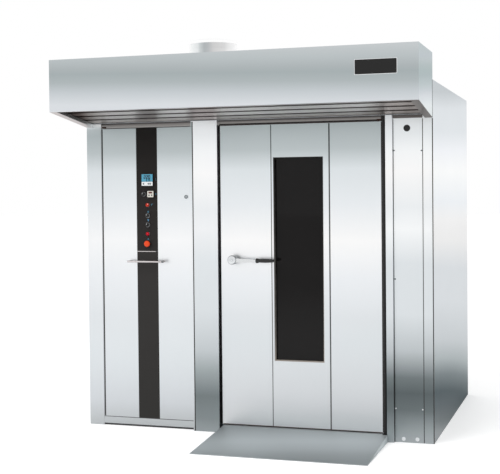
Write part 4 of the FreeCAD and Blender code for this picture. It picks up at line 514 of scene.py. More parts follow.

# Painted shade darkens the slats towards both ends of the hood and near the pillar.
SLAT_PAINTED_SHADE = Bands((
    (-1.50, "5C5452"), (-1.40, "7E7876"), (-1.31, "D0CCCA"), (-1.24, "F0EEEE"), (-0.73, "FFFFFF"),
    (-0.68, "C2BEBE"), (-0.55, "BEBABA"), (-0.50, "FFFFFF"), (0.34, "FFFFFF"), (0.46, "D6D2D0"),
    (0.64, "B8B4B2")), run=(1.0, 0.366, 0.0))
SLAT_BANDS = Bands(slat_zones("E9E5E3", "5A5452"), run=(0.0, 1.0, 0.0))
SLAT_SHEET = BrushedSheet("stainless_sheet_folded_slats", SLAT_BANDS, Axis.ACROSS, roughness=0.42,
                          keeps_tone=True, painted_shade=SLAT_PAINTED_SHADE)
# The rolled spigot's painted reflections are white at both sides of its round wall and grey between them.
SPIGOT_SHEET = BrushedSheet("stainless_sheet_rolled_spigot", Bands((
    (-0.641, "FFFFFF"), (-0.625, "F6F8F8"), (-0.590, "E6E9EA"), (-0.578, "CED3D4"), (-0.553, "B5BABC"),
    (-0.530, "BCBFC1"), (-0.500, "D2D2D2"), (-0.460, "DADADA"), (-0.436, "DEDEDE"), (-0.415, "EDEDED"),
    (-0.385, "F6F6F6"), (-0.365, "FFFFFF")), run=(0.942, 0.335, 0.0)))
# The hem is pure white: a painted highlight.
SPIGOT_RIM = PlainMetal("stainless_hem_polished", tone="FFFFFF", roughness=0.1, variation=0.01)
# Painted shade: the header is dark above its lower edge, where the hood shades it, and the strip on top of the
# right front panel is dark with the same painted shade.
HEADER_SHEET = BrushedSheet("stainless_sheet_brushed_header", Bands((
    (1.886, "A29F9D"), (1.894, "9A9896"), (1.897, "8E8B89"), (1.903, "8E8B89"), (1.909, "5C5A5A"),
    (1.925, "3A3838"), (2.11, "8A9294"))), Axis.ACROSS)
SHADE_STRIP_SHEET = BrushedSheet("stainless_strip_painted_shade", Bands(((1.890, "706C6A"), (1.920, "5E5A58"))),
                          Axis.ACROSS, keeps_tone=True)
# Painted reflection and shade: the ramp is darkest at its thin front edge and under the door.
RAMP_SHEET = BrushedSheet("stainless_plate_rolled_ramp", Bands((
    (-1.510, "B4BABC"), (-1.456, "B6BCBE"), (-1.350, "C3C9CB"), (-1.240, "D4DADC"), (-1.120, "DDE3E5"),
    (-1.060, "DCE2E4"), (-0.940, "CFD5D7"), (-0.805, "BDC3C5")), run=(-0.202, 0.952, 0.0)), Axis.ACROSS,
                          roughness=0.6, keeps_tone=True)
# Duller sheets that an open door or the roof shows; heat has yellowed those of the chamber.
PAN_SHEET = BrushedSheet("stainless_sheet_folded_door_pans", Bands(((0.0, "9DA2A4"), (1.9, "B4B9BB"))))
CHAMBER_SHEET = BrushedSheet("stainless_sheet_annealed_chamber", Bands((
    (0.0, "A39C90"), (1.0, "B4AEA4"), (2.0, "A09688"))), roughness=0.38, streak=0.03)
ROOF_SHEET = BrushedSheet("stainless_sheet_mill_roof", Bands(((2.10, "B9BDBF"), (2.13, "C0C4C6"))), Axis.DEEP,
                          roughness=0.4)
FLOOR_SHEET = BrushedSheet("steel_sheet_galvanised_base", Bands(((0.0, "8E9496"), (0.05, "A2A8AA"))),
                           roughness=0.45, streak=0.05)
# Polished, ground and turned steel has narrow bright highlights; painted shade darkens some forms towards
# their rim.
POLISHED = PlainMetal("stainless_bar_polished", tone="F0F2F3", roughness=0.12, variation=0.03)
LEVER_STEEL = PlainMetal("stainless_casting_ground", tone="E9EBEC", roughness=0.2, variation=0.03,
                         rim="C0C4C6")
BOSS_STEEL = PlainMetal("stainless_casting_turned", tone="DFE2E4", roughness=0.22, variation=0.05,
                        rim="707476")
BAR_STEEL = PlainMetal("stainless_bar_ground", tone="DAD4D4", roughness=0.2, variation=0.03, rim="8C8787")
# Small plated and die-cast parts: the plating gives a sharp reflection, the casting a dull one.
CHROME = PlainMetal("brass_ring_chromed", tone="9C9EA0", roughness=0.1, variation=0.05)
LOCK_STEEL = PlainMetal("zinc_lock_die_cast", tone="888F92", roughness=0.3, variation=0.12)
LOCK_CORE = PlainMetal("brass_core_nickel_plated", tone="C2C6C8", roughness=0.2)
# The right cap of the bar handle is darkened with painted shade; its twin on the left is polished.
BAR_END = PlainMetal("stainless_cap_turned", tone="8A8D8F", roughness=0.25, rim="5A5D5F")
# Fresh zinc on a screw glints, and weathered zinc is grey and blotchy.
ZINC = PlainMetal("steel_screw_zinc_plated", tone="F2F5F7", roughness=0.28, variation=0.08)
DULL_ZINC = PlainMetal("steel_screw_weathered", tone="70777A", roughness=0.4, variation=0.25)
# Blacked steel, iron and heating rods are dark, rough and uneven.
BLACKED = PlainMetal("steel_plate_black_oxidised", tone="2B2A29", roughness=0.45, variation=0.2)
CAST_IRON = PlainMetal("cast_iron_as_cast", tone="5B5856", roughness=0.62, spot=6.0, variation=0.3,
                       depth=0.6)
HEATING_ROD = PlainMetal("nickel_alloy_rod_oxidised", tone="6A625C", roughness=0.5, spot=12.0,
                         variation=0.35)
# Powder coat and enamel have an even colour with a soft sheen; a painted sheen makes the black strip lighter
# low down and darker towards the top.
BLACK_SHEET = Coating("steel_sheet_powder_coated_black", roughness=0.5, specular=0.12, bands=Bands((
    (0.05, "2F2E2D"), (1.10, "312F2E"), (1.12, "2A2827"), (1.60, "242120"), (1.88, "171514"))))
BLACK_TUBE = Coating("steel_tube_enamelled_black", tone="1B1A1A", roughness=0.35, specular=0.3)
MOTOR_PAINT = Coating("cast_aluminium_enamelled_grey", tone="5E6E78", roughness=0.45, spot=2.5, depth=0.1)
# Matted wool has no sheen, and a deep soft relief.
WOOL = Coating("mineral_wool_matted", tone="B9A25F", roughness=0.95, spot=9.0, variation=0.45,
               depth=4.0)
# Rubber and sealant are dull dark lines, browner where heat reaches them.
RUBBER = Coating("silicone_rubber_extruded_black", tone="1A1817", roughness=0.6, specular=0.3)
SEALANT = Coating("silicone_sealant_skinned_grey", tone="2E2C2B", roughness=0.6, specular=0.2)
# The joints' sealant darkens towards the top: painted shade under the hood.
JOINT_SEALANT = Coating("silicone_sealant_pale_grey", roughness=0.6, specular=0.2, bands=Bands((
    (0.05, "4E4E50"), (1.55, "4A4A4C"), (1.76, "1E1E1E"), (1.88, "161616"))))
BROWN_SEAL = Coating("silicone_rubber_baked_brown", tone="40302C", roughness=0.6, specular=0.2)
HOT_SEAL = Coating("silicone_rubber_baked_brown_red", tone="2C1410", roughness=0.6, specular=0.2)
# The window's rubber frame is pale at the bottom and dark towards the top: painted light and shade.
GLAZING = Coating("silicone_rubber_extruded_grey", roughness=0.6, specular=0.2, bands=Bands((
    (0.45, "A09890"), (0.60, "7A7672"), (1.20, "4A4846"), (1.68, "2A2928"))))
# Bronzed steel is dark brown with a faint gleam.
HINGE_BROWN = PlainMetal("steel_leaf_bronzed", tone="3A2620", roughness=0.5, variation=0.3)
# Moulded plastics: the phenolic grip shines a little, the others are satin.
GRIP = Coating("phenolic_moulded_black", tone="171717", roughness=0.28, specular=0.5)
SWITCH = Coating("polyamide_moulded_black", tone="1C1C1D", roughness=0.4)
INSTRUMENT = Coating("abs_moulded_ivory", tone="DAD6CC", roughness=0.4, variation=0.04)
BEZEL = Coating("abs_moulded_black_bezel", tone="262626", roughness=0.45, specular=0.2)
# A lit screen and red digits glow a little of their own; the other digits are dull.
SCREEN = Coating("acrylic_screen_lit_blue", tone="4790AA", roughness=0.15, glow=0.25, variation=0.05)
SCREEN_DARK = Coating("acrylic_screen_dark_red", tone="3A1614", roughness=0.15, variation=0.1)
DIGIT_UPPER = Coating("display_segment_brown_red", tone="32100C", roughness=0.5, specular=0.1)
DIGIT_LOWER = Coating("display_segment_dark_grey", tone="161E1C", roughness=0.5, specular=0.1)
DIGIT_RED = Coating("display_segment_red", tone="7E2420", roughness=0.4, glow=0.15)
# Printed foil and inks are flat, even colours.
KEY = Coating("polyester_foil_printed_white", tone="EEF1F2", roughness=0.35, variation=0.04)
INK = Coating("ink_screen_printed_blue", tone="4A84A8", roughness=0.5)
INK_TEAL = Coating("ink_screen_printed_teal", tone="3D7086", roughness=0.5)
INK_DARK = Coating("ink_screen_printed_dark", tone="38424A", roughness=0.5)
INK_WHITE = Coating("ink_screen_printed_white", tone="D8DADA", roughness=0.5)
# Lenses and the stop button are deep reds, with painted shade where they turn away; the pilot lenses also
# carry a painted highlight, a pale spot of light that glows a little.
LENS = Coating("polycarbonate_lens_red", tone="BC0E24", roughness=0.3, specular=0.1, variation=0.15,
               rim="7A0E18")
LENS_WARM = Coating("polycarbonate_lens_orange_red", tone="BE3018", roughness=0.16, specular=0.2,
                    variation=0.15, rim="821814")
# Painted highlight: the pale spot on each pilot lens, which glows a little.
LENS_SPARK = Coating("lens_painted_highlight", tone="FFC4BC", roughness=0.3, glow=0.4)
STOP_RED = Coating("abs_moulded_orange_red", tone="DE4A20", roughness=0.42, specular=0.2, variation=0.05,
                   rim="A82412")
# Plug, plate and contactors are plain dark or grey surfaces.
PLUG = Coating("polyethylene_plug_black", tone="161616", roughness=0.5)
PLATE = Coating("aluminium_plate_anodised_black", tone="111111", roughness=0.3, specular=0.3)
CONTACTOR = Coating("polyamide_moulded_grey", tone="8F9496", roughness=0.5)
GLASS = DarkGlass("float_glass_toughened_tinted")



# ---------------------------------------------------------------- shapes
def on_front(x: float, z: float, y: float = FRONT_Y) -> Matrix:
    """Place on the oven's front, with the local axes right, up and out towards the baker.

    Args:
        x: place across, mm.
        z: height, mm.
        y: depth of the surface, mm.

    Returns:
        Matrix from local millimetres to metres.
    """
    turn = Matrix(((1, 0, 0, x), (0, 0, -1, y), (0, 1, 0, z), (0, 0, 0, 1)))
    return Matrix.Scale(MM, 4) @ turn


def on_side(x: float, y: float, z: float) -> Matrix:
    """Place on the oven's right side, with the local axes back, up and out to the right.

    Args:
        x: place of the surface, mm.
        y: depth, mm.
        z: height, mm.

    Returns:
        Matrix from local millimetres to metres.
    """
    turn = Matrix(((0, 0, 1, x), (1, 0, 0, y), (0, 1, 0, z), (0, 0, 0, 1)))
    return Matrix.Scale(MM, 4) @ turn


def rounded(width: float, height: float, radius: float, steps: int = 6) -> list[tuple[float, float]]:
    """Outline of a rectangle with round corners about the origin, anticlockwise.

    Args:
        width: full width.
        height: full height.
        radius: corner radius.
        steps: segments in each corner.

    Returns:
        Points of the outline.
    """
    points = []
    for quarter, (sx, sy) in enumerate(((1, 1), (-1, 1), (-1, -1), (1, -1))):
        for step in range(steps + 1):
            angle = math.radians(90) * (quarter + step / steps)
            points.append((sx * (width / 2 - radius) + radius * math.cos(angle),
                           sy * (height / 2 - radius) + radius * math.sin(angle)))
    return points


def along_bar(x: float, z: float, y: float, side: int = 1) -> Matrix:
    """Place of a turned piece that lies across the oven, with its own upright axis to one side.

    Args:
        x: where its foot is, mm.
        z: height, mm.
        y: depth of its middle, mm.
        side: 1 when it points to the right, -1 to the left.

    Returns:
        Matrix from local millimetres to metres.
    """
    return on_front(x, z, y) @ Matrix.Rotation(math.radians(90 * side), 4, "Y")


def upright(x: float, y: float, z: float = 0.0) -> Matrix:
    """Place that keeps the model's own directions, in millimetres."""
    return Matrix.Scale(MM, 4) @ Matrix.Translation((x, y, z))


def circle(radius: float, steps: int) -> list[tuple[float, float]]:
    """Outline of a circle, or of a regular polygon with few steps."""
    return [(radius * math.cos(math.tau * step / steps), radius * math.sin(math.tau * step / steps))
            for step in range(steps)]


class Shape:
    """A mesh in the making, in metres."""

    def __init__(self) -> None:
        """Starts empty."""
        self.mesh = bmesh.new()

    def loft(self, rings: Sequence[Sequence[Vector]], closed: bool = False) -> "Shape":
        """Joins rings of equal count with quads and closes the two ends.

        Args:
            rings: points of each ring, in metres, in order along the form.
            closed: whether the last ring joins the first instead of being capped.

        Returns:
            The shape itself.
        """
        made = [[self.mesh.verts.new(point) for point in ring] for ring in rings]
        count = len(made[0])
        pairs = list(zip(made, made[1:] + made[:1])) if closed else list(zip(made, made[1:]))
        for near, far in pairs:
            for index in range(count):
                after = (index + 1) % count
                self.mesh.faces.new((near[index], near[after], far[after], far[index]))
        if not closed:
            self.mesh.faces.new(list(reversed(made[0])))
            self.mesh.faces.new(made[-1])
        return self

    def plate(self, outline: Outline, low: float, high: float, place: Matrix,
              chamfer: float = 0.0) -> "Shape":
        """Raises a flat outline, with its upper rim chamfered.

        Args:
            outline: local points, mm, anticlockwise.
            low: where the plate starts above the surface, mm.
            high: where it ends, mm.
            place: matrix from local millimetres to metres.
            chamfer: size of the rim's chamfer, mm.

        Returns:
            The shape itself.
        """
        levels = [(low, 0.0), (high - chamfer, 0.0)]
        if chamfer:
            levels.append((high, chamfer))
        reach_x = max(abs(x) for x, _ in outline)
        reach_y = max(abs(y) for _, y in outline)
        rings = []
        for level, inset in levels:
            shrink = (1 - inset / reach_x, 1 - inset / reach_y)
            rings.append([place @ Vector((x * shrink[0], y * shrink[1], level)) for x, y in outline])
        return self.loft(rings)

    def turned(self, profile: Outline, place: Matrix, steps: int = 48, closed: bool = False) -> "Shape":
        """Turns a profile once about the local upright axis.

        Args:
            profile: (radius, height) points, mm, from the foot to the tip.
            place: matrix from local millimetres to metres.
            steps: segments round the axis.
            closed: whether the profile runs back to its start, as a hollow ring's does.

        Returns:
            The shape itself.
        """
        around = circle(1.0, steps)
        return self.loft([[place @ Vector((radius * x, radius * y, height)) for x, y in around]
                          for radius, height in profile], closed)

    def piece(self, name: str, body: Body, finish: Finish, slot: str, replaces: Iterable[str] = ()) -> Piece:
        """Turns the mesh into a piece that rides on a body.

        Args:
            name: name of the piece.
            body: body that it rides on.
            finish: finish of its surface.
            slot: material slot of the record; not used.
            replaces: nodes of the model that it stands for.

        Returns:
            The new object.
        """
        bmesh.ops.remove_doubles(self.mesh, verts=self.mesh.verts, dist=SAME_POINT)
        bmesh.ops.dissolve_degenerate(self.mesh, dist=NO_EDGE, edges=self.mesh.edges)
        bmesh.ops.recalc_face_normals(self.mesh, faces=self.mesh.faces)
        data = bpy.data.meshes.new(name)
        self.mesh.to_mesh(data)
        self.mesh.free()
        data.materials.append(material_of(finish))
        data.shade_smooth()
        data.set_sharp_from_angle(angle=SMOOTH_BELOW)
        made = bpy.data.objects.new(name, data)
        bpy.context.scene.collection.objects.link(made)
        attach(made, body.value)
        if replaces:
            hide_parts(*replaces)
        return made


@dataclass(frozen=True)
class Pad:
    """Flat form with round corners on an upright face: a strip of seal, a plate, a key or a printed bar."""

    middle: tuple[float, float]
    size: tuple[float, float]
    levels: tuple[float, float] = (-0.6, 0.3)
    corner: float = 1.0
    steps: int = 2
    chamfer: float = 0.0
    y: float = FRONT_Y

    def add_to(self, shape: Shape) -> None:
        """Adds the pad to a mesh."""
        outline = rounded(*self.size, self.corner, self.steps)
        shape.plate(outline, *self.levels, on_front(*self.middle, self.y), self.chamfer)


def laid(name: str, body: Body, finish: Finish, slot: str, *pads: Pad) -> Piece:
    """Makes one piece of one or more pads.

    Args:
        name: name of the piece.
        body: body that it rides on.
        finish: finish of its surface.
        slot: material slot of the record.
        pads: the pads.

    Returns:
        The new object.
    """
    shape = Shape()
    for pad in pads:
        pad.add_to(shape)
    return shape.piece(name, body, finish, slot)


def soften(piece: Piece, width: float) -> None:
    """Rounds a piece's hard edges a little, as deburring does.

    Args:
        piece: the piece.
        width: width of the round, mm.
    """
    weld = piece.modifiers.new("joined", "WELD")
    weld.merge_threshold = 1e-6
    bevel = piece.modifiers.new("deburred", "BEVEL")
    bevel.width = width * MM
    bevel.segments = 2
    bevel.limit_method = "ANGLE"
    bevel.angle_limit = DEBURRED_ABOVE
    bevel.harden_normals = False


# ---------------------------------------------------------------- sub-assemblies
@dataclass
class SubAssembly(ABC):
    """A group of pieces that are dressed and built together."""

    @abstractmethod
    def finishes(self) -> dict[Finish, tuple[str, ...]]:
        """Gives the nodes of the model that each finish goes on."""

    def fittings(self) -> list[Piece]:
        """Builds the pieces that the model doesn't have, which are none unless a sub-assembly says so."""
        return []

    def dress(self) -> list[Piece]:
        """Gives the nodes of the model their finishes.

        Returns:
            The dressed objects.
        """
        dressed = []
        for finish, names in self.finishes().items():
            for name in names:
                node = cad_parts[name]
                for slot in node.material_slots:
                    slot.material = material_of(finish)
                dressed.append(node)
        return dressed

    def build(self) -> list[Piece]:
        """Dresses the nodes and builds the fittings."""
        return self.dress() + self.fittings()


@dataclass
class Casing(SubAssembly):
    """Posts, panels, base, their screws and seals, and dark strips of painted shade."""

    screw_radius: float = 4.5
    roof_screw_radius: float = 6.0
    # Shares of the radius: width and height of a pan head, whose dished middle stands for the cross recess.
    screw_head: Outline = ((1.0, 0.0), (1.0, 0.3), (0.85, 0.5), (0.5, 0.6), (0.3, 0.55), (0.1, 0.3))
    screws: Outline = ((875.0, 198.0), (1033.0, 198.0))
    dull_screws: Outline = ((874.0, 1709.0), (1034.0, 1706.0), (876.0, 958.0))
    bolts: Outline = ((920.0, 21.0), (1001.0, 22.0))
    bolt_radius: float = 9.0
    washer: Outline = ((2.0, -1.0), (12.0, -1.0), (12.0, 0.8), (11.4, 1.4), (2.0, 1.4))
    port: tuple[float, float] = (950.0, 1838.0)
    port_radius: float = 19.5
    seam_low: float = 2.0
    seam_high: float = 1892.0
    front_seams: Outline = ((869.5, 3.0), (1041.0, 4.4))
    corner: float = 1100.0
    corner_bead: float = 4.6
    roof: float = 2113.0
    pillar_left: float = -383.0
    pillar_y: float = -850.0
    pillar_top: float = 1912.0
    # Dark strips of painted shade under the hood: one along the header's lower edge, over the oven door, and
    # one on top of the right front panel.
    header_shade_strip: Pad = Pad((302.0, 1890.0), (1012.0, 7.5))
    panel_shade_strip: Pad = Pad((954.5, 1905.5), (173.0, 18.6), corner=0.6)
    # Dark strips at the kick plate: the lower one, at the floor, is a painted shadow of the gap under the
    # plate; the upper one is a dark line along its top.
    kick_dark_strips: tuple[Pad, ...] = (Pad((-691.5, 6.2), (612.0, 12.0), (-14.0, -9.0)),
                                   Pad((-691.5, 56.0), (612.0, 3.8), (-6.0, 0.3)))
    pivots: tuple[Pad, ...] = (Pad((-978.0, 1891.5), (30.0, 9.0), (-1.0, 1.2), 1.5, 3, 0.4),
                               Pad((786.0, 1891.5), (26.0, 9.0), (-1.0, 1.2), 1.5, 3, 0.4))

    def finishes(self) -> dict[Finish, tuple[str, ...]]:
        """Gives the nodes of the casing that each finish goes on."""
        return {DOOR_SHEET: ("kick_plate",), LEFT_POST_SHEET: ("left_post",),
                PILLAR_SHEET: ("middle_pillar",),
                POST_SHEET: ("right_post", "right_front_panel", "rear_panel"),
                SIDE_SHEET: ("right_side_panel", "left_side_panel"), HEADER_SHEET: ("front_header",),
                ROOF_SHEET: ("roof_panel",), FLOOR_SHEET: ("base_tray",), BLACK_TUBE: ("door_bearings",),
                BLACKED: ("latch_keeper",)}

    def screw(self, shape: Shape, place: Matrix, radius: float) -> None:
        """Adds a pan-head screw.

        Args:
            shape: mesh that gets the screw.
            place: matrix from local millimetres to metres.
            radius: radius of the head, mm.
        """
        shank = [(radius * 0.6, -1.0)]
        shape.turned(shank + [(radius * wide, radius * high) for wide, high in self.screw_head], place, 20)

    def fittings(self) -> list[Piece]:
        """Adds the casing's screws, plug, floor bolts and seals, and dark strips of painted shade.

        Returns:
            The new pieces.
        """
        bright, dull, bolts = Shape(), Shape(), Shape()
        for shape, places in ((bright, self.screws), (dull, self.dull_screws)):
            for x, z in places:
                self.screw(shape, on_front(x, z), self.screw_radius)
        for x, z in self.bolts:
            bolts.plate(circle(self.bolt_radius, 6), 1.0, 7.0, on_front(x, z), 1.0)
            bolts.turned(self.washer, on_front(x, z), 32)
        edge = self.port_radius
        plug = Shape().turned([(1.0, -6.0), (17.0, -6.0), (17.0, 0.0), (edge, 0.2), (edge, 1.8),
                               (edge - 1.5, 2.8), (10.0, 3.2), (9.0, 2.2), (0.8, 2.2)], on_front(*self.port))
        return [bright.piece("panel_screws", Body.CASING, ZINC, "casing_steel"),
                dull.piece("panel_screws_dull", Body.CASING, DULL_ZINC, "casing_steel"),
                bolts.piece("floor_bolts", Body.CASING, ZINC, "casing_steel"),
                plug.piece("port_plug", Body.CASING, PLUG, "black_steel"), self.seam_beads(),
                laid("kick_plate_dark_strips", Body.CASING, JOINT_SEALANT, "seal_rubber", *self.kick_dark_strips),
                laid("door_pivot_leaves", Body.CASING, HINGE_BROWN, "casing_steel", *self.pivots),
                self.roof_screws(),
                # Dark strips of painted shade under the hood.
                laid("header_shadow_strip", Body.CASING, RUBBER, "seal_rubber", self.header_shade_strip),
                laid("panel_top_shadow_strip", Body.CASING, SHADE_STRIP_SHEET, "casing_steel", self.panel_shade_strip),
                *self.pillar_strips()]

    def seam_beads(self) -> Piece:
        """Dark sealant in the joints of the right post, front panel and corner.

        Returns:
            The beads.
        """
        beads = Shape()
        low, high = self.seam_low, self.seam_high
        corner = (self.corner - self.corner_bead / 2, self.corner_bead)
        for x, wide in (*self.front_seams, corner):
            Pad((x, (low + high) / 2), (wide, high - low), (-0.8, 0.2), wide / 3).add_to(beads)
        # The upper bead, beside the header, is wider and lies further forward.
        for wide, y, start, end in ((8.0, FRONT_Y + 4.0, low, high),
                                    (16.0, FRONT_Y - 8.0, high + 4, self.roof)):
            place = on_side(self.corner, y, (start + end) / 2)
            beads.plate(rounded(wide, end - start, 1.0, 2), -0.8, 0.02, place)
        return beads.piece("casing_seam_beads", Body.CASING, SEALANT, "seal_rubber")

    def pillar_strips(self) -> list[Piece]:
        """Dark strip of painted shadow and a lip on the pillar's left margin.

        Returns:
            The strip and the lip.
        """
        high, middle = self.pillar_top - 2, self.pillar_top / 2
        strip = Pad((self.pillar_left + 10.5, middle), (6.5, high), (-0.6, 0.4), y=self.pillar_y)
        lip = Pad((self.pillar_left + 3.9, middle), (7.6, high), corner=0.6, y=self.pillar_y)
        return [laid("pillar_shadow_strip", Body.CASING, SEALANT, "seal_rubber", strip),
                laid("pillar_closing_lip", Body.CASING, DOOR_SHEET, "casing_steel", lip)]

    def roof_screws(self) -> Piece:
        """Pan-head screws round the edge of the roof sheet.

        Returns:
            The screws.
        """
        screws = Shape()
        rows = [(x, y) for x in range(-1050, 1051, 300) for y in (-500, 805)]
        rows += [(x, y) for x in (-1080, 1080) for y in range(-380, 701, 270)]
        for x, y in rows:
            self.screw(screws, upright(x, y, self.roof + 2.0), self.roof_screw_radius)
        return screws.piece("roof_screws", Body.CASING, DULL_ZINC, "casing_steel")


@dataclass
class Ramp(SubAssembly):
    """Loading ramp in front of the oven door."""

    def finishes(self) -> dict[Finish, tuple[str, ...]]:
        """Gives the ramp its finish."""
        return {RAMP_SHEET: ("ramp",)}


@dataclass
class Hood(SubAssembly):
    """Steam hood over both doors, with its blank nameplate."""

    plate_middle: tuple[float, float] = (866.8, 2148.0)
    plate_size: tuple[float, float] = (236.0, 85.0)
    plate_rim: float = 2.5
    spigot: tuple[float, float] = (-150.0, -1075.0)
    spigot_radius: float = 140.0
    spigot_low: float = 2300.0
    spigot_high: float = 2342.0
    spigot_steps: int = 96
    seam_angle: float = 311.6
    # Cross-section of the lap seam: degrees round the spigot, and mm out from its wall.
    seam_lap: Outline = ((-1.6, -0.3), (1.6, -0.3), (1.6, 0.7), (-1.2, 1.0), (-1.6, 0.7))
    hem: tuple[float, float] = (2341.0, 2358.6)
    skirt: tuple[float, float] = (2273.0, 2306.0)

    def finishes(self) -> dict[Finish, tuple[str, ...]]:
        """Gives the nodes of the hood that each finish goes on."""
        return {HOOD_SHEET: ("hood_shell",), SLAT_SHEET: ("hood_slats",), SPIGOT_SHEET: ("hood_spigot",)}

    def fittings(self) -> list[Piece]:
        """Adds the nameplate and the spigot's seam, hem and skirt.

        Returns:
            The new pieces.
        """
        width, height = self.plate_size
        less = 2 * self.plate_rim
        rim = Pad(self.plate_middle, self.plate_size, (-0.5, 1.2), 6.0, 6, 0.4, FASCIA_Y)
        plate = Pad(self.plate_middle, (width - less, height - less), (0.8, 1.8), 4.5, 6, 0.4, FASCIA_Y)
        return [laid("nameplate_rim", Body.CASING, POLISHED, "polished_steel", rim),
                laid("nameplate_blank", Body.CASING, PLATE, "black_steel", plate), self.spigot_seam(),
                self.band(*self.hem, 0.8).piece("spigot_hem", Body.CASING, SPIGOT_RIM, "polished_steel"),
                self.band(*self.skirt, 4.0).piece("spigot_skirt", Body.CASING, SPIGOT_SHEET, "hood_steel")]

    def band(self, low: float, high: float, out: float, wall: float = 0.4) -> Shape:
        """Makes a round band about the spigot with a rounded upper edge.

        Args:
            low: height of its lower edge, mm.
            high: height of its upper edge, mm.
            out: how far it stands out from the spigot, mm.
            wall: how far its inner face lies inside the spigot's outside, mm.

        Returns:
            The band.
        """
        outer, inner = self.spigot_radius + out, self.spigot_radius - wall
        profile = [(inner, low), (outer, low), (outer, high - 1.0), (outer - 0.4, high - 0.2),
                   (outer - 1.0, high), (inner, high)]
        return Shape().turned(profile, upright(*self.spigot), self.spigot_steps, closed=True)

    def spigot_seam(self) -> Piece:
        """Lap seam of the rolled spigot, a flat strip that follows its wall.

        Returns:
            The seam.
        """
        place = upright(*self.spigot)
        rings = []
        for height in (self.spigot_low, self.spigot_high):
            ring = []
            for degrees, out in self.seam_lap:
                angle = math.radians(self.seam_angle + degrees)
                radius = self.spigot_radius + out
                ring.append(place @ Vector((radius * math.cos(angle), radius * math.sin(angle), height)))
            rings.append(ring)
        return Shape().loft(rings).piece("spigot_seam", Body.CASING, SPIGOT_SHEET, "hood_steel")


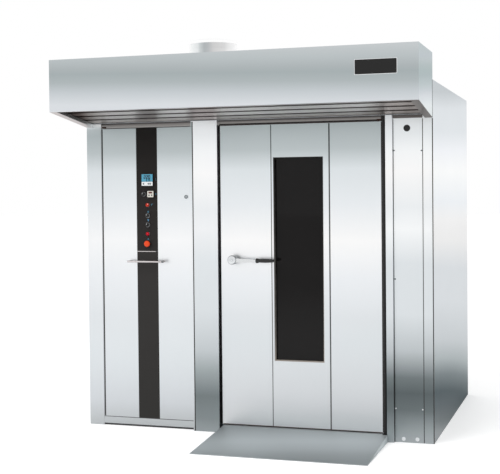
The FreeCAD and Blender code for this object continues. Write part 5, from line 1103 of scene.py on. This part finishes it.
@dataclass
class OvenDoor(SubAssembly):
    """Oven door with its window, hinge tube, seals and lever."""

    left: float = -200.0
    right: float = 802.0
    low: float = 48.0
    high: float = 1882.0
    window: tuple[float, float, float, float] = (137.0, 447.0, 450.0, 1683.0)
    pane_depth: float = 28.0
    seams: Outline = ((124.0, 5.0), (485.0, 8.0))
    hinge_seam: float = 5.0
    seal_wall: float = 5.0
    seal_high: float = 4.0
    lever: tuple[float, float] = (-116.0, 1060.0)
    lever_out: float = 48.0
    lever_round: float = 2.5
    ferrule_start: float = 22.0
    grip_start: float = 38.0
    grip_end: float = 151.0
    boss_radius: float = 28.0
    boss_shift: tuple[float, float] = (2.0, 3.0)

    def finishes(self) -> dict[Finish, tuple[str, ...]]:
        """Gives the nodes of the door that each finish goes on."""
        return {OVEN_DOOR_SHEET: ("door_skins", "window_panel"), PAN_SHEET: ("door_pan",),
                GLASS: ("door_glass",), BLACK_TUBE: ("hinge_tube",), LEVER_STEEL: ("door_lever",),
                RUBBER: ("frame_gasket",)}

    def fittings(self) -> list[Piece]:
        """Rounds the lever, and adds the door's seals and the lever's fittings.

        Returns:
            The new pieces.
        """
        soften(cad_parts["door_lever"], self.lever_round)
        return [self.glazing_seal(), *self.seals(), self.grip(), self.rosette(), *self.lever_boss()]

    def glazing_seal(self) -> Piece:
        """Lines the window opening with a rubber frame in front of the pane.

        Returns:
            The frame.
        """
        left, right, low, high = self.window
        place = on_front((left + right) / 2, (low + high) / 2)
        wall, pane = self.seal_wall, -self.pane_depth + 0.3
        rings = []
        for inset, out in ((0.2, -2.2), (0.2, pane), (wall, pane), (wall, -3.2), (wall - 1.0, -2.2)):
            corners = rounded(right - left - 2 * inset, high - low - 2 * inset, 3.0, 3)
            rings.append([place @ Vector((x, y, out)) for x, y in corners])
        return Shape().loft(rings, closed=True).piece("window_seal", Body.OVEN_DOOR, GLAZING, "seal_rubber")

    def seals(self) -> list[Piece]:
        """Sealant in the joints of the front sheets, and rubber along the hinge, upper and lower edges.

        Returns:
            The four pieces.
        """
        middle, centre = (self.left + self.right) / 2, (self.low + self.high) / 2
        wide, tall = self.right - self.left, self.high - self.low - 6
        joints = [Pad((x, centre), (joint, tall), (-1.9, 0.2), 0.8) for x, joint in self.seams]
        edge = Pad((self.right - self.hinge_seam / 2, centre), (self.hinge_seam, tall), (-1.9, 0.2), 0.8)
        top = Pad((middle - 5, self.high + 1.5), (wide - 16, self.seal_high), (-0.5, 0.8), steps=3,
                  chamfer=0.3)
        bottom = Pad((middle, self.low + 2.2), (wide - 6, self.seal_high), (-0.5, 1.2), steps=3,
                     chamfer=0.4)
        return [laid("door_seam_beads", Body.OVEN_DOOR, JOINT_SEALANT, "seal_rubber", *joints),
                laid("door_edge_seal", Body.OVEN_DOOR, SEALANT, "seal_rubber", edge),
                laid("door_top_seal", Body.OVEN_DOOR, HOT_SEAL, "seal_rubber", top),
                laid("door_bottom_seal", Body.OVEN_DOOR, BROWN_SEAL, "seal_rubber", bottom)]

    def grip(self) -> Piece:
        """Turned grip with a collar at its root, a waist and a tapered end.

        Returns:
            The grip.
        """
        long = self.grip_end - self.grip_start
        profile = [(6.1, 8.0), (6.1, 0.0), (11.5, 0.0), (14.0, 1.2), (14.6, 3.0), (14.6, 13.0), (13.8, 15.4),
                   (11.6, 17.4), (11.0, 20.0), (11.2, 28.0), (11.8, 42.0), (12.2, 60.0), (11.8, 78.0),
                   (10.8, 92.0), (10.0, 98.0), (9.0, long - 3.4), (7.0, long - 1.6),
                   (4.0, long - 0.3), (0.6, long)]
        place = along_bar(self.grip_start, self.lever[1], FRONT_Y - self.lever_out)
        grip = Shape().turned(profile, place, 40)
        return grip.piece("grip_turned", Body.LEVER, GRIP, "grip_plastic", replaces=("lever_grip",))

    def rosette(self) -> Piece:
        """Turned cover rosette with a stepped rim and a dished face.

        Returns:
            The rosette.
        """
        profile = [(8.06, 0.0), (25.0, 0.0), (25.0, 3.4), (24.4, 4.2), (23.2, 4.6), (22.6, 5.4), (22.2, 9.0),
                   (21.4, 11.0), (19.8, 11.9), (15.0, 12.0), (12.0, 11.4), (9.0, 11.6), (8.06, 11.6)]
        cover = Shape().turned(profile, on_front(*self.lever), 64, closed=True)
        return cover.piece("rosette_turned", Body.OVEN_DOOR, BOSS_STEEL, "polished_steel",
                           replaces=("handle_rosette",))

    def lever_boss(self) -> list[Piece]:
        """Turned boss over the lever's hub, its domed screw cap, and the ferrule that meets the grip.

        Returns:
            The boss, the cap and the ferrule.
        """
        x, z = self.lever
        y = FRONT_Y - self.lever_out
        place = on_front(x + self.boss_shift[0], z + self.boss_shift[1], y)
        wide = self.boss_radius
        boss = Shape().turned([(6.0, -10.6), (wide - 2.5, -10.6), (wide - 0.6, -9.6), (wide, -7.5),
                               (wide, 6.0), (wide - 1.2, 9.0), (wide - 4.0, 11.4), (wide - 8.0, 12.8),
                               (8.0, 13.0), (0.5, 13.0)], place)
        dome = [(7.0, 12.6), (7.0, 13.4), (6.6, 14.2), (4.8, 15.0), (2.4, 15.4), (0.5, 15.5)]
        cap = Shape().turned(dome, place, 40)
        long = self.grip_start - self.ferrule_start + 1.0
        ferrule = Shape().turned([(7.0, 0.0), (8.2, 0.6), (8.6, 2.0), (8.6, long - 2.0), (8.2, long)],
                                 along_bar(self.ferrule_start, z, y), 36)
        return [boss.piece("lever_boss", Body.LEVER, BOSS_STEEL, "polished_steel"),
                cap.piece("lever_boss_cap", Body.LEVER, BOSS_STEEL, "polished_steel"),
                ferrule.piece("lever_ferrule", Body.LEVER, LEVER_STEEL, "polished_steel")]


@dataclass
class Numerals:
    """Seven-segment numerals of a lit display."""

    height: float
    stroke: float

    def write(self, shape: Shape, text: str, x: float, z: float, y: float) -> None:
        """Adds numerals in a row.

        Args:
            shape: mesh that gets the numerals.
            text: the digits.
            x: middle of the row, mm.
            z: middle of the row, mm.
            y: depth of the display's face, mm.
        """
        lit = {"0": "abcdef", "1": "bc", "2": "abdeg", "5": "acdfg"}
        wide = self.height * 0.52
        half = self.height / 2
        strokes = {"a": (0, half, 0), "g": (0, 0, 0), "d": (0, -half, 0), "b": (wide / 2, half / 2, 90),
                   "c": (wide / 2, -half / 2, 90), "e": (-wide / 2, -half / 2, 90),
                   "f": (-wide / 2, half / 2, 90)}
        for index, digit in enumerate(text):
            middle = x + (index - (len(text) - 1) / 2) * wide * 1.55
            for name in lit[digit]:
                across, up, turn = strokes[name]
                long = (half if turn else wide) + self.stroke * 0.4
                bar = rounded(long, self.stroke, self.stroke * 0.3, 1)
                place = on_front(middle + across, z + up, y) @ Matrix.Rotation(math.radians(turn), 4, "Z")
                shape.plate(bar, -0.2, 0.25, place)

@dataclass
class ServiceDoor(SubAssembly):
    """Service door with the black control strip and its instruments."""

    hinge_edge: float = -998.0
    seal_low: float = 60.0
    seal_high: float = 1880.0
    strip_left: float = -759.0
    strip_seam: float = 1108.0
    trim: tuple[float, float] = (124.0, 4.6)
    axis: float = -685.0
    controller: tuple[float, float] = (-683.5, 1556.0)
    key_row: float = 1533.0
    key_places: tuple[float, ...] = (-24.5, 9.0, 21.5)
    timer: tuple[float, float] = (-662.5, 1468.0)
    knob: tuple[float, float] = (-711.0, 1468.0)
    upper_pilot: float = 1400.0
    lower_pilot: float = 1219.0
    upper_selector: float = 1333.0
    lower_selector: float = 1275.0
    stop: float = 1157.0
    # How far the button's foot stands out: its seat, its travel and a clearance.
    stop_gap: float = 4.0 + 6.0 + 0.6
    bezel_out: float = 9.0
    face_out: float = 7.0
    knob_top: float = 20.3
    mark_levels: tuple[float, float] = (-0.2, 0.25)
    bar: tuple[float, float, float] = (-818.0, -566.0, 1047.0)
    bar_out: float = 45.0
    lock: tuple[float, float] = (-426.0, 1449.0)
    # Printed bars beside the switches and instruments, each with its middle and size.
    bars: tuple[tuple[float, float, float, float], ...] = (
        (-660.0, 1401.0, 2.5, 12.0), (-653.0, 1406.5, 9.0, 2.0), (-656.0, 1403.5, 3.0, 4.0),
        (-629.0, 1468.0, 4.0, 12.0), (-629.0, 1559.0, 1.6, 18.0))

    def finishes(self) -> dict[Finish, tuple[str, ...]]:
        """Gives the nodes of the service door that each finish goes on."""
        return {DOOR_SHEET: ("service_door_skins",), PAN_SHEET: ("service_door_pan",),
                BLACK_SHEET: ("control_strip",), BAR_STEEL: ("bar_handle",), LOCK_STEEL: ("service_lock",),
                BEZEL: ("temperature_controller", "timer"),
                SWITCH: ("timer_knob", "selector_upper", "selector_lower", "switch_bodies")}

    def fittings(self) -> list[Piece]:
        """Adds the faces of the instruments, the switches' rings and marks, the lock's core and the seal.

        Returns:
            The new pieces.
        """
        seal = Pad((self.hinge_edge + 5.4, (self.seal_low + self.seal_high) / 2),
                   (8.0, self.seal_high - self.seal_low))
        return [*self.temperature_face(), *self.timer_face(), *self.pilots(), *self.pointers(),
                *self.printed(), *self.bar_ends(), self.switch_rings(), self.stop_button(), self.lock_core(),
                laid("service_door_hinge_seal", Body.SERVICE_DOOR, SEALANT, "seal_rubber", seal)]

    def mark(self, shape: Shape, outline: Outline, x: float, z: float, out: float = 0.0) -> None:
        """Adds a printed mark.

        Args:
            shape: mesh that gets the mark.
            outline: outline about its middle, mm.
            x: place across, mm.
            z: height, mm.
            out: how far the printed surface stands out, mm.
        """
        shape.plate(outline, *self.mark_levels, on_front(x, z, FRONT_Y - out))

    def temperature_face(self) -> list[Piece]:
        """Lit screen with two rows of numerals over a pale key foil.

        Returns:
            Screen, foil, both rows of numerals, keys and the arrows on them.
        """
        x, z = self.controller
        top = self.bezel_out + 0.9
        levels = (self.face_out - 0.5, top)
        screen = Pad((x, z + 13.5), (74.0, 46.5), levels, 2.0, 4, 0.6)
        foil = Pad((x, self.key_row), (74.0, 25.0), levels, 2.0, 4, 0.6)
        upper, lower, keys, arrows = Shape(), Shape(), Shape(), Shape()
        Numerals(19.0, 3.8).write(upper, "220", x - 1, z + 19, FRONT_Y - top)
        Numerals(12.5, 2.8).write(lower, "215", x + 7, z, FRONT_Y - top)
        for offset, turn in zip(self.key_places, (1, 1, -1)):
            self.mark(keys, rounded(10, 10.5, 2.0, 3), x + offset, self.key_row, top)
            arrow = [(-3, -2 * turn), (3, -2 * turn), (0, 3 * turn)][::turn]
            self.mark(arrows, arrow, x + offset, self.key_row, top + self.mark_levels[1])
        return [laid("controller_screen", Body.SERVICE_DOOR, SCREEN, "instrument_plastic", screen),
                laid("controller_key_foil", Body.SERVICE_DOOR, KEY, "instrument_plastic", foil),
                upper.piece("controller_upper_numerals", Body.SERVICE_DOOR, DIGIT_UPPER, "instrument_plastic"),
                lower.piece("controller_lower_numerals", Body.SERVICE_DOOR, DIGIT_LOWER, "instrument_plastic"),
                keys.piece("controller_keys", Body.SERVICE_DOOR, INK_DARK, "instrument_plastic"),
                arrows.piece("controller_key_marks", Body.SERVICE_DOOR, INK_WHITE, "instrument_plastic")]

    def timer_face(self) -> list[Piece]:
        """Ivory face with a dark red display and two dark keys.

        Returns:
            Face, display, numerals and keys.
        """
        x, z = self.timer
        top = self.bezel_out + 0.3
        face = Pad((x, z), (41.5, 38.5), (self.face_out - 0.5, top), 2.5, 4, 0.5)
        display = Pad((x + 0.5, z + 9.0), (26.0, 9.5), (top - 0.3, top + 0.8), 4.5, 6, 0.5)
        keys = [Pad((x + offset, z - 7.5), (7.5, 9.0), (top - 0.3, top + 1.2), 1.5, 4, 0.4)
                for offset in (-8.8, 8.8)]
        digits = Shape()
        Numerals(5.5, 1.0).write(digits, "025", x + 0.5, z + 9.0, FRONT_Y - top - 0.8)
        return [laid("timer_face", Body.SERVICE_DOOR, INSTRUMENT, "instrument_plastic", face),
                laid("timer_display", Body.SERVICE_DOOR, SCREEN_DARK, "instrument_plastic", display),
                digits.piece("timer_numerals", Body.SERVICE_DOOR, DIGIT_RED, "instrument_plastic"),
                laid("timer_keys", Body.SERVICE_DOOR, INK_DARK, "instrument_plastic", *keys)]

    def pilots(self) -> list[Piece]:
        """Chromed ring, red lens with a painted highlight on it, and black barrel of each pilot light.

        Returns:
            Both lenses, the rings, the painted highlights and the barrels.
        """
        rings, sparks, barrels = Shape(), Shape(), Shape()
        dome = [(12.0 * math.cos(math.radians(a)), 6.0 + 6.5 * math.sin(math.radians(a)))
                for a in range(8, 88, 10)]
        made = []
        # The last three numbers are the place of the painted highlight on the lens and its radius.
        for name, z, finish, across, up, radius in (("upper", self.upper_pilot, LENS_WARM, 5.0, 5.0, 2.6),
                                                    ("lower", self.lower_pilot, LENS, -1.0, 4.0, 1.0)):
            place = on_front(self.axis, z)
            rings.turned([(10.9, -0.5), (10.9, 0.0), (14.0, 0.0), (14.0, 1.6), (13.6, 2.4), (13.0, 2.8),
                          (12.4, 2.6), (12.0, 2.2), (9.4, 2.2)], place)
            lens = Shape().turned([(11.9, 0.5), (12.0, 5.5), *dome], place)
            made.append(lens.piece(f"{name}_pilot_lens", Body.SERVICE_DOOR, finish, "pilot_plastic",
                                   ("pilot_lights",)))
            sparks.turned([(radius, 8.0), (radius, 11.7), (radius * 0.6, 12.1), (0.3, 12.2)],
                          on_front(self.axis + across, z + up), 20)
            barrels.turned([(1.0, -42.0), (9.6, -42.0), (11.0, -40.6), (11.0, -8.0), (10.4, -7.4),
                            (10.4, -0.4)], place)
        return made + [rings.piece("pilot_rings", Body.SERVICE_DOOR, CHROME, "polished_steel",
                                   ("pilot_lights",)),
                       sparks.piece("pilot_painted_highlights", Body.SERVICE_DOOR, LENS_SPARK, "pilot_plastic"),
                       barrels.piece("pilot_barrels", Body.SERVICE_DOOR, SWITCH, "switch_plastic",
                                     ("pilot_lights",))]

    def switch_rings(self) -> Piece:
        """Chromed rings round the three turning knobs.

        Returns:
            The rings.
        """
        rings = Shape()
        profile = [(13.4, 3.6), (14.6, 2.4), (14.7, 2.8), (14.2, 3.9), (13.5, 4.25), (12.5, 4.25), (12.5, 3.9)]
        for x, z in (self.knob, (self.axis, self.upper_selector), (self.axis, self.lower_selector)):
            rings.turned(profile, on_front(x, z), closed=True)
        return rings.piece("switch_rings", Body.SERVICE_DOOR, CHROME, "polished_steel")

    def pointers(self) -> list[Piece]:
        """White pointer line on each turning knob.

        Returns:
            The three lines.
        """
        outline = [(-0.9, 1.0), (0.9, 1.0), (0.9, 9.5), (-0.9, 9.5)]
        made = []
        for name, body, x, z in (("timer_pointer", Body.TIMER_DIAL, *self.knob),
                                 ("upper_selector_pointer", Body.UPPER_DIAL, self.axis, self.upper_selector),
                                 ("lower_selector_pointer", Body.LOWER_DIAL, self.axis, self.lower_selector)):
            line = Shape()
            self.mark(line, outline, x, z, self.knob_top + 4.0)
            made.append(line.piece(name, body, INK_WHITE, "switch_plastic"))
        return made

    def stop_button(self) -> Piece:
        """Mushroom head, round and smooth, on its stem.

        Returns:
            The button.
        """
        head = [(15.6, 0.0), (17.2, 0.6), (19.0, 3.0), (19.9, 5.4), (20.0, 7.4), (19.4, 9.6), (17.6, 12.0),
                (14.2, 14.0), (9.6, 15.3), (4.8, 15.9), (0.6, 16.0)]
        profile = [(5.9, -15.0), (6.0, self.stop_gap)] + [(radius, self.stop_gap + up) for radius, up in head]
        button = Shape().turned(profile, on_front(self.axis, self.stop), 56)
        return button.piece("stop_mushroom", Body.STOP_BUTTON, STOP_RED, "stop_plastic", ("emergency_stop",))

    def printed(self) -> list[Piece]:
        """Plain pictograms beside the switches and the pale line under the controls.

        Returns:
            The teal marks, the blue mark and the line.
        """
        teal, blue = Shape(), Shape()
        triangle = [(-7.0, -6.5), (7.0, -6.5), (0.0, 8.0)]
        self.mark(teal, triangle, self.axis + 2.5, self.upper_selector + 25.5)
        self.mark(blue, [(x, -z) for x, z in reversed(triangle)], self.axis + 2.5, self.lower_selector + 29)
        self.mark(teal, [(-6.0, -5.0), (6.0, -5.0), (3.5, 1.0), (0.0, 5.5), (-3.5, 1.0)], self.axis + 1.5,
                  self.stop + 29.5)
        for x, z, wide, high in self.bars:
            self.mark(teal, rounded(wide, high, 0.6, 2), x, z)
        line = Pad((self.strip_left + self.trim[0] / 2 + 0.5, self.strip_seam + 0.5), self.trim, (-0.3, 0.8),
                   0.8, 3, 0.3)
        return [teal.piece("strip_pictograms_teal", Body.SERVICE_DOOR, INK_TEAL, "black_steel"),
                blue.piece("strip_pictogram_blue", Body.SERVICE_DOOR, INK, "black_steel"),
                laid("strip_seam_trim", Body.SERVICE_DOOR, BAR_STEEL, "polished_steel", line)]

    def bar_ends(self) -> list[Piece]:
        """Turned caps on the two ends of the bar handle, the right one darkened with painted shade.

        Returns:
            The left and the right cap.
        """
        profile = [(0.5, -0.05), (4.0, -0.05), (6.0, 1.2), (6.5, 3.0), (6.5, 11.0), (6.2, 11.6), (5.6, 11.6)]
        left, right, z = self.bar
        made = []
        for name, finish, edge, side in (("left", POLISHED, left, 1), ("right", BAR_END, right, -1)):
            cap = Shape().turned(profile, along_bar(edge, z, FRONT_Y - self.bar_out, side), 36)
            made.append(cap.piece(f"{name}_bar_end_cap", Body.SERVICE_DOOR, finish, "polished_steel"))
        return made

    def lock_core(self) -> Piece:
        """Nickel-plated core in the face of the lock.

        Returns:
            The core.
        """
        x, z = self.lock
        core = Shape().turned([(5.0, -0.6), (5.0, 0.3), (4.6, 0.7), (1.0, 0.7), (0.3, 0.7)],
                              on_front(x + 1.0, z + 0.5, FRONT_Y - 4.3), 32)
        return core.piece("lock_core", Body.LOCK, LOCK_CORE, "polished_steel")


@dataclass
class Chamber(SubAssembly):
    """Baking chamber, heat space and everything that only an open door shows."""

    def finishes(self) -> dict[Finish, tuple[str, ...]]:
        """Gives the nodes of the chamber that each finish goes on."""
        return {CHAMBER_SHEET: ("chamber_floor", "chamber_right_wall", "chamber_rear_wall", "chamber_ceiling",
                                "heat_space_wall", "air_duct_wall", "supply_duct", "door_frame",
                                "service_partition", "fan_inlet_plate", "rack_carrier", "fan_wheel"),
                CAST_IRON: ("steam_cascade",), HEATING_ROD: ("heater_bank",), WOOL: ("insulation",),
                CONTACTOR: ("contactors",)}


@dataclass
class RoofDrives(SubAssembly):
    """Motors, bearing and steam outlet on the roof."""

    def finishes(self) -> dict[Finish, tuple[str, ...]]:
        """Gives the nodes on the roof that each finish goes on."""
        return {MOTOR_PAINT: ("fan_motor", "rotation_bearing", "rotation_gearmotor"),
                ROOF_SHEET: ("vent_pipe",), POLISHED: ("vent_damper",)}


# ---------------------------------------------------------------- studio
@dataclass
class Studio:
    """Pale floor, soft light and the photograph's camera."""

    camera_at: tuple[float, float, float] = (2.04828, -7.25835, 1.47165)
    turned_left: float = 17.76017
    looks_up: float = -1.31161
    rolled: float = -0.54189
    lens: float = 79.92
    lifted: float = -0.038
    floor_size: float = 60.0
    floor_tone: str = "F2F2F2"
    floor_lift: float = 0.26
    floor_gloss_lift: float = 0.06
    sky: float = 0.82
    lamp_power: float = 260.0
    lamp_size: tuple[float, float] = (5.0, 4.0)
    lamp_at: tuple[float, float, float] = (-2.5, -5.5, 6.0)
    lamp_aim: tuple[float, float, float] = (0.3, -0.4, 0.8)

    def floor(self) -> None:
        """Lays the floor, whose own shade keeps the oven's shadow."""
        shape = bmesh.new()
        bmesh.ops.create_grid(shape, x_segments=1, y_segments=1, size=self.floor_size)
        data = bpy.data.meshes.new("studio_floor")
        shape.to_mesh(data)
        shape.free()
        material = bpy.data.materials.new("paper_floor_matt")
        material.use_nodes = True
        tree = material.node_tree
        shader = tree.nodes["Principled BSDF"]
        shader.inputs["Base Color"].default_value = linear(self.floor_tone)
        shader.inputs["Roughness"].default_value = 0.9
        shader.inputs["Specular IOR Level"].default_value = 0.1
        ray = add_node(tree, "ShaderNodeLightPath")
        lift = add_node(tree, "ShaderNodeMath", {0: ray.outputs["Is Camera Ray"], 1: self.floor_lift,
                                                 2: self.floor_gloss_lift}, operation="MULTIPLY_ADD")
        shader.inputs["Emission Color"].default_value = (1, 1, 1, 1)
        tree.links.new(lift.outputs[0], shader.inputs["Emission Strength"])
        data.materials.append(material)
        made = bpy.data.objects.new("studio_floor", data)
        bpy.context.scene.collection.objects.link(made)

    def surroundings(self) -> None:
        """Makes the surroundings white where they are seen, and softer where they only light."""
        world = bpy.data.worlds.new("studio")
        world.use_nodes = True
        tree = world.node_tree
        ray = add_node(tree, "ShaderNodeLightPath")
        seen = add_node(tree, "ShaderNodeMath",
                        {0: ray.outputs["Is Camera Ray"], 1: ray.outputs["Is Glossy Ray"]},
                        operation="MAXIMUM")
        seen = add_node(tree, "ShaderNodeMath", {0: seen.outputs[0], 1: ray.outputs["Is Transmission Ray"]},
                        operation="MAXIMUM")
        strength = add_node(tree, "ShaderNodeMapRange",
                            {"Value": seen.outputs[0], "To Min": self.sky, "To Max": 1.0})
        background = tree.nodes["Background"]
        background.inputs["Color"].default_value = (1, 1, 1, 1)
        tree.links.new(strength.outputs["Result"], background.inputs["Strength"])
        bpy.context.scene.world = world

    def lamp(self) -> None:
        """Hangs one large soft lamp to the front left."""
        light = bpy.data.lights.new("soft_lamp", "AREA")
        light.energy = self.lamp_power
        light.shape = "RECTANGLE"
        light.size, light.size_y = self.lamp_size
        made = bpy.data.objects.new("soft_lamp", light)
        made.location = self.lamp_at
        made.rotation_euler = (Vector(self.lamp_aim) - made.location).to_track_quat("-Z", "Y").to_euler()
        made.visible_glossy = False
        bpy.context.scene.collection.objects.link(made)

    def camera(self) -> None:
        """Sets the photograph's camera."""
        data = bpy.data.cameras.new("photo_camera")
        data.sensor_width = 36.0
        data.lens = self.lens
        data.shift_y = self.lifted
        data.clip_end = 200.0
        made = bpy.data.objects.new("photo_camera", data)
        turn = (Matrix.Rotation(math.radians(self.turned_left), 4, "Z")
                @ Matrix.Rotation(math.radians(90 + self.looks_up), 4, "X")
                @ Matrix.Rotation(math.radians(self.rolled), 4, "Z"))
        made.matrix_world = Matrix.Translation(self.camera_at) @ turn
        bpy.context.scene.collection.objects.link(made)
        bpy.context.scene.camera = made

    def build(self) -> None:
        """Sets up floor, surroundings, lamp, camera and the plain view."""
        self.floor()
        self.surroundings()
        self.lamp()
        self.camera()
        bpy.context.scene.view_settings.view_transform = "Standard"


def main() -> None:
    """Builds the studio and every sub-assembly."""
    logging.basicConfig(level=logging.INFO, format="%(message)s")
    Studio().build()
    for assembly in (Casing(), Ramp(), Hood(), OvenDoor(), ServiceDoor(), Chamber(), RoofDrives()):
        for piece in assembly.build():
            LOG.info("%s: %s with %d faces", type(assembly).__name__, piece.name, len(piece.data.polygons))


if __name__ == "__main__":
    main()
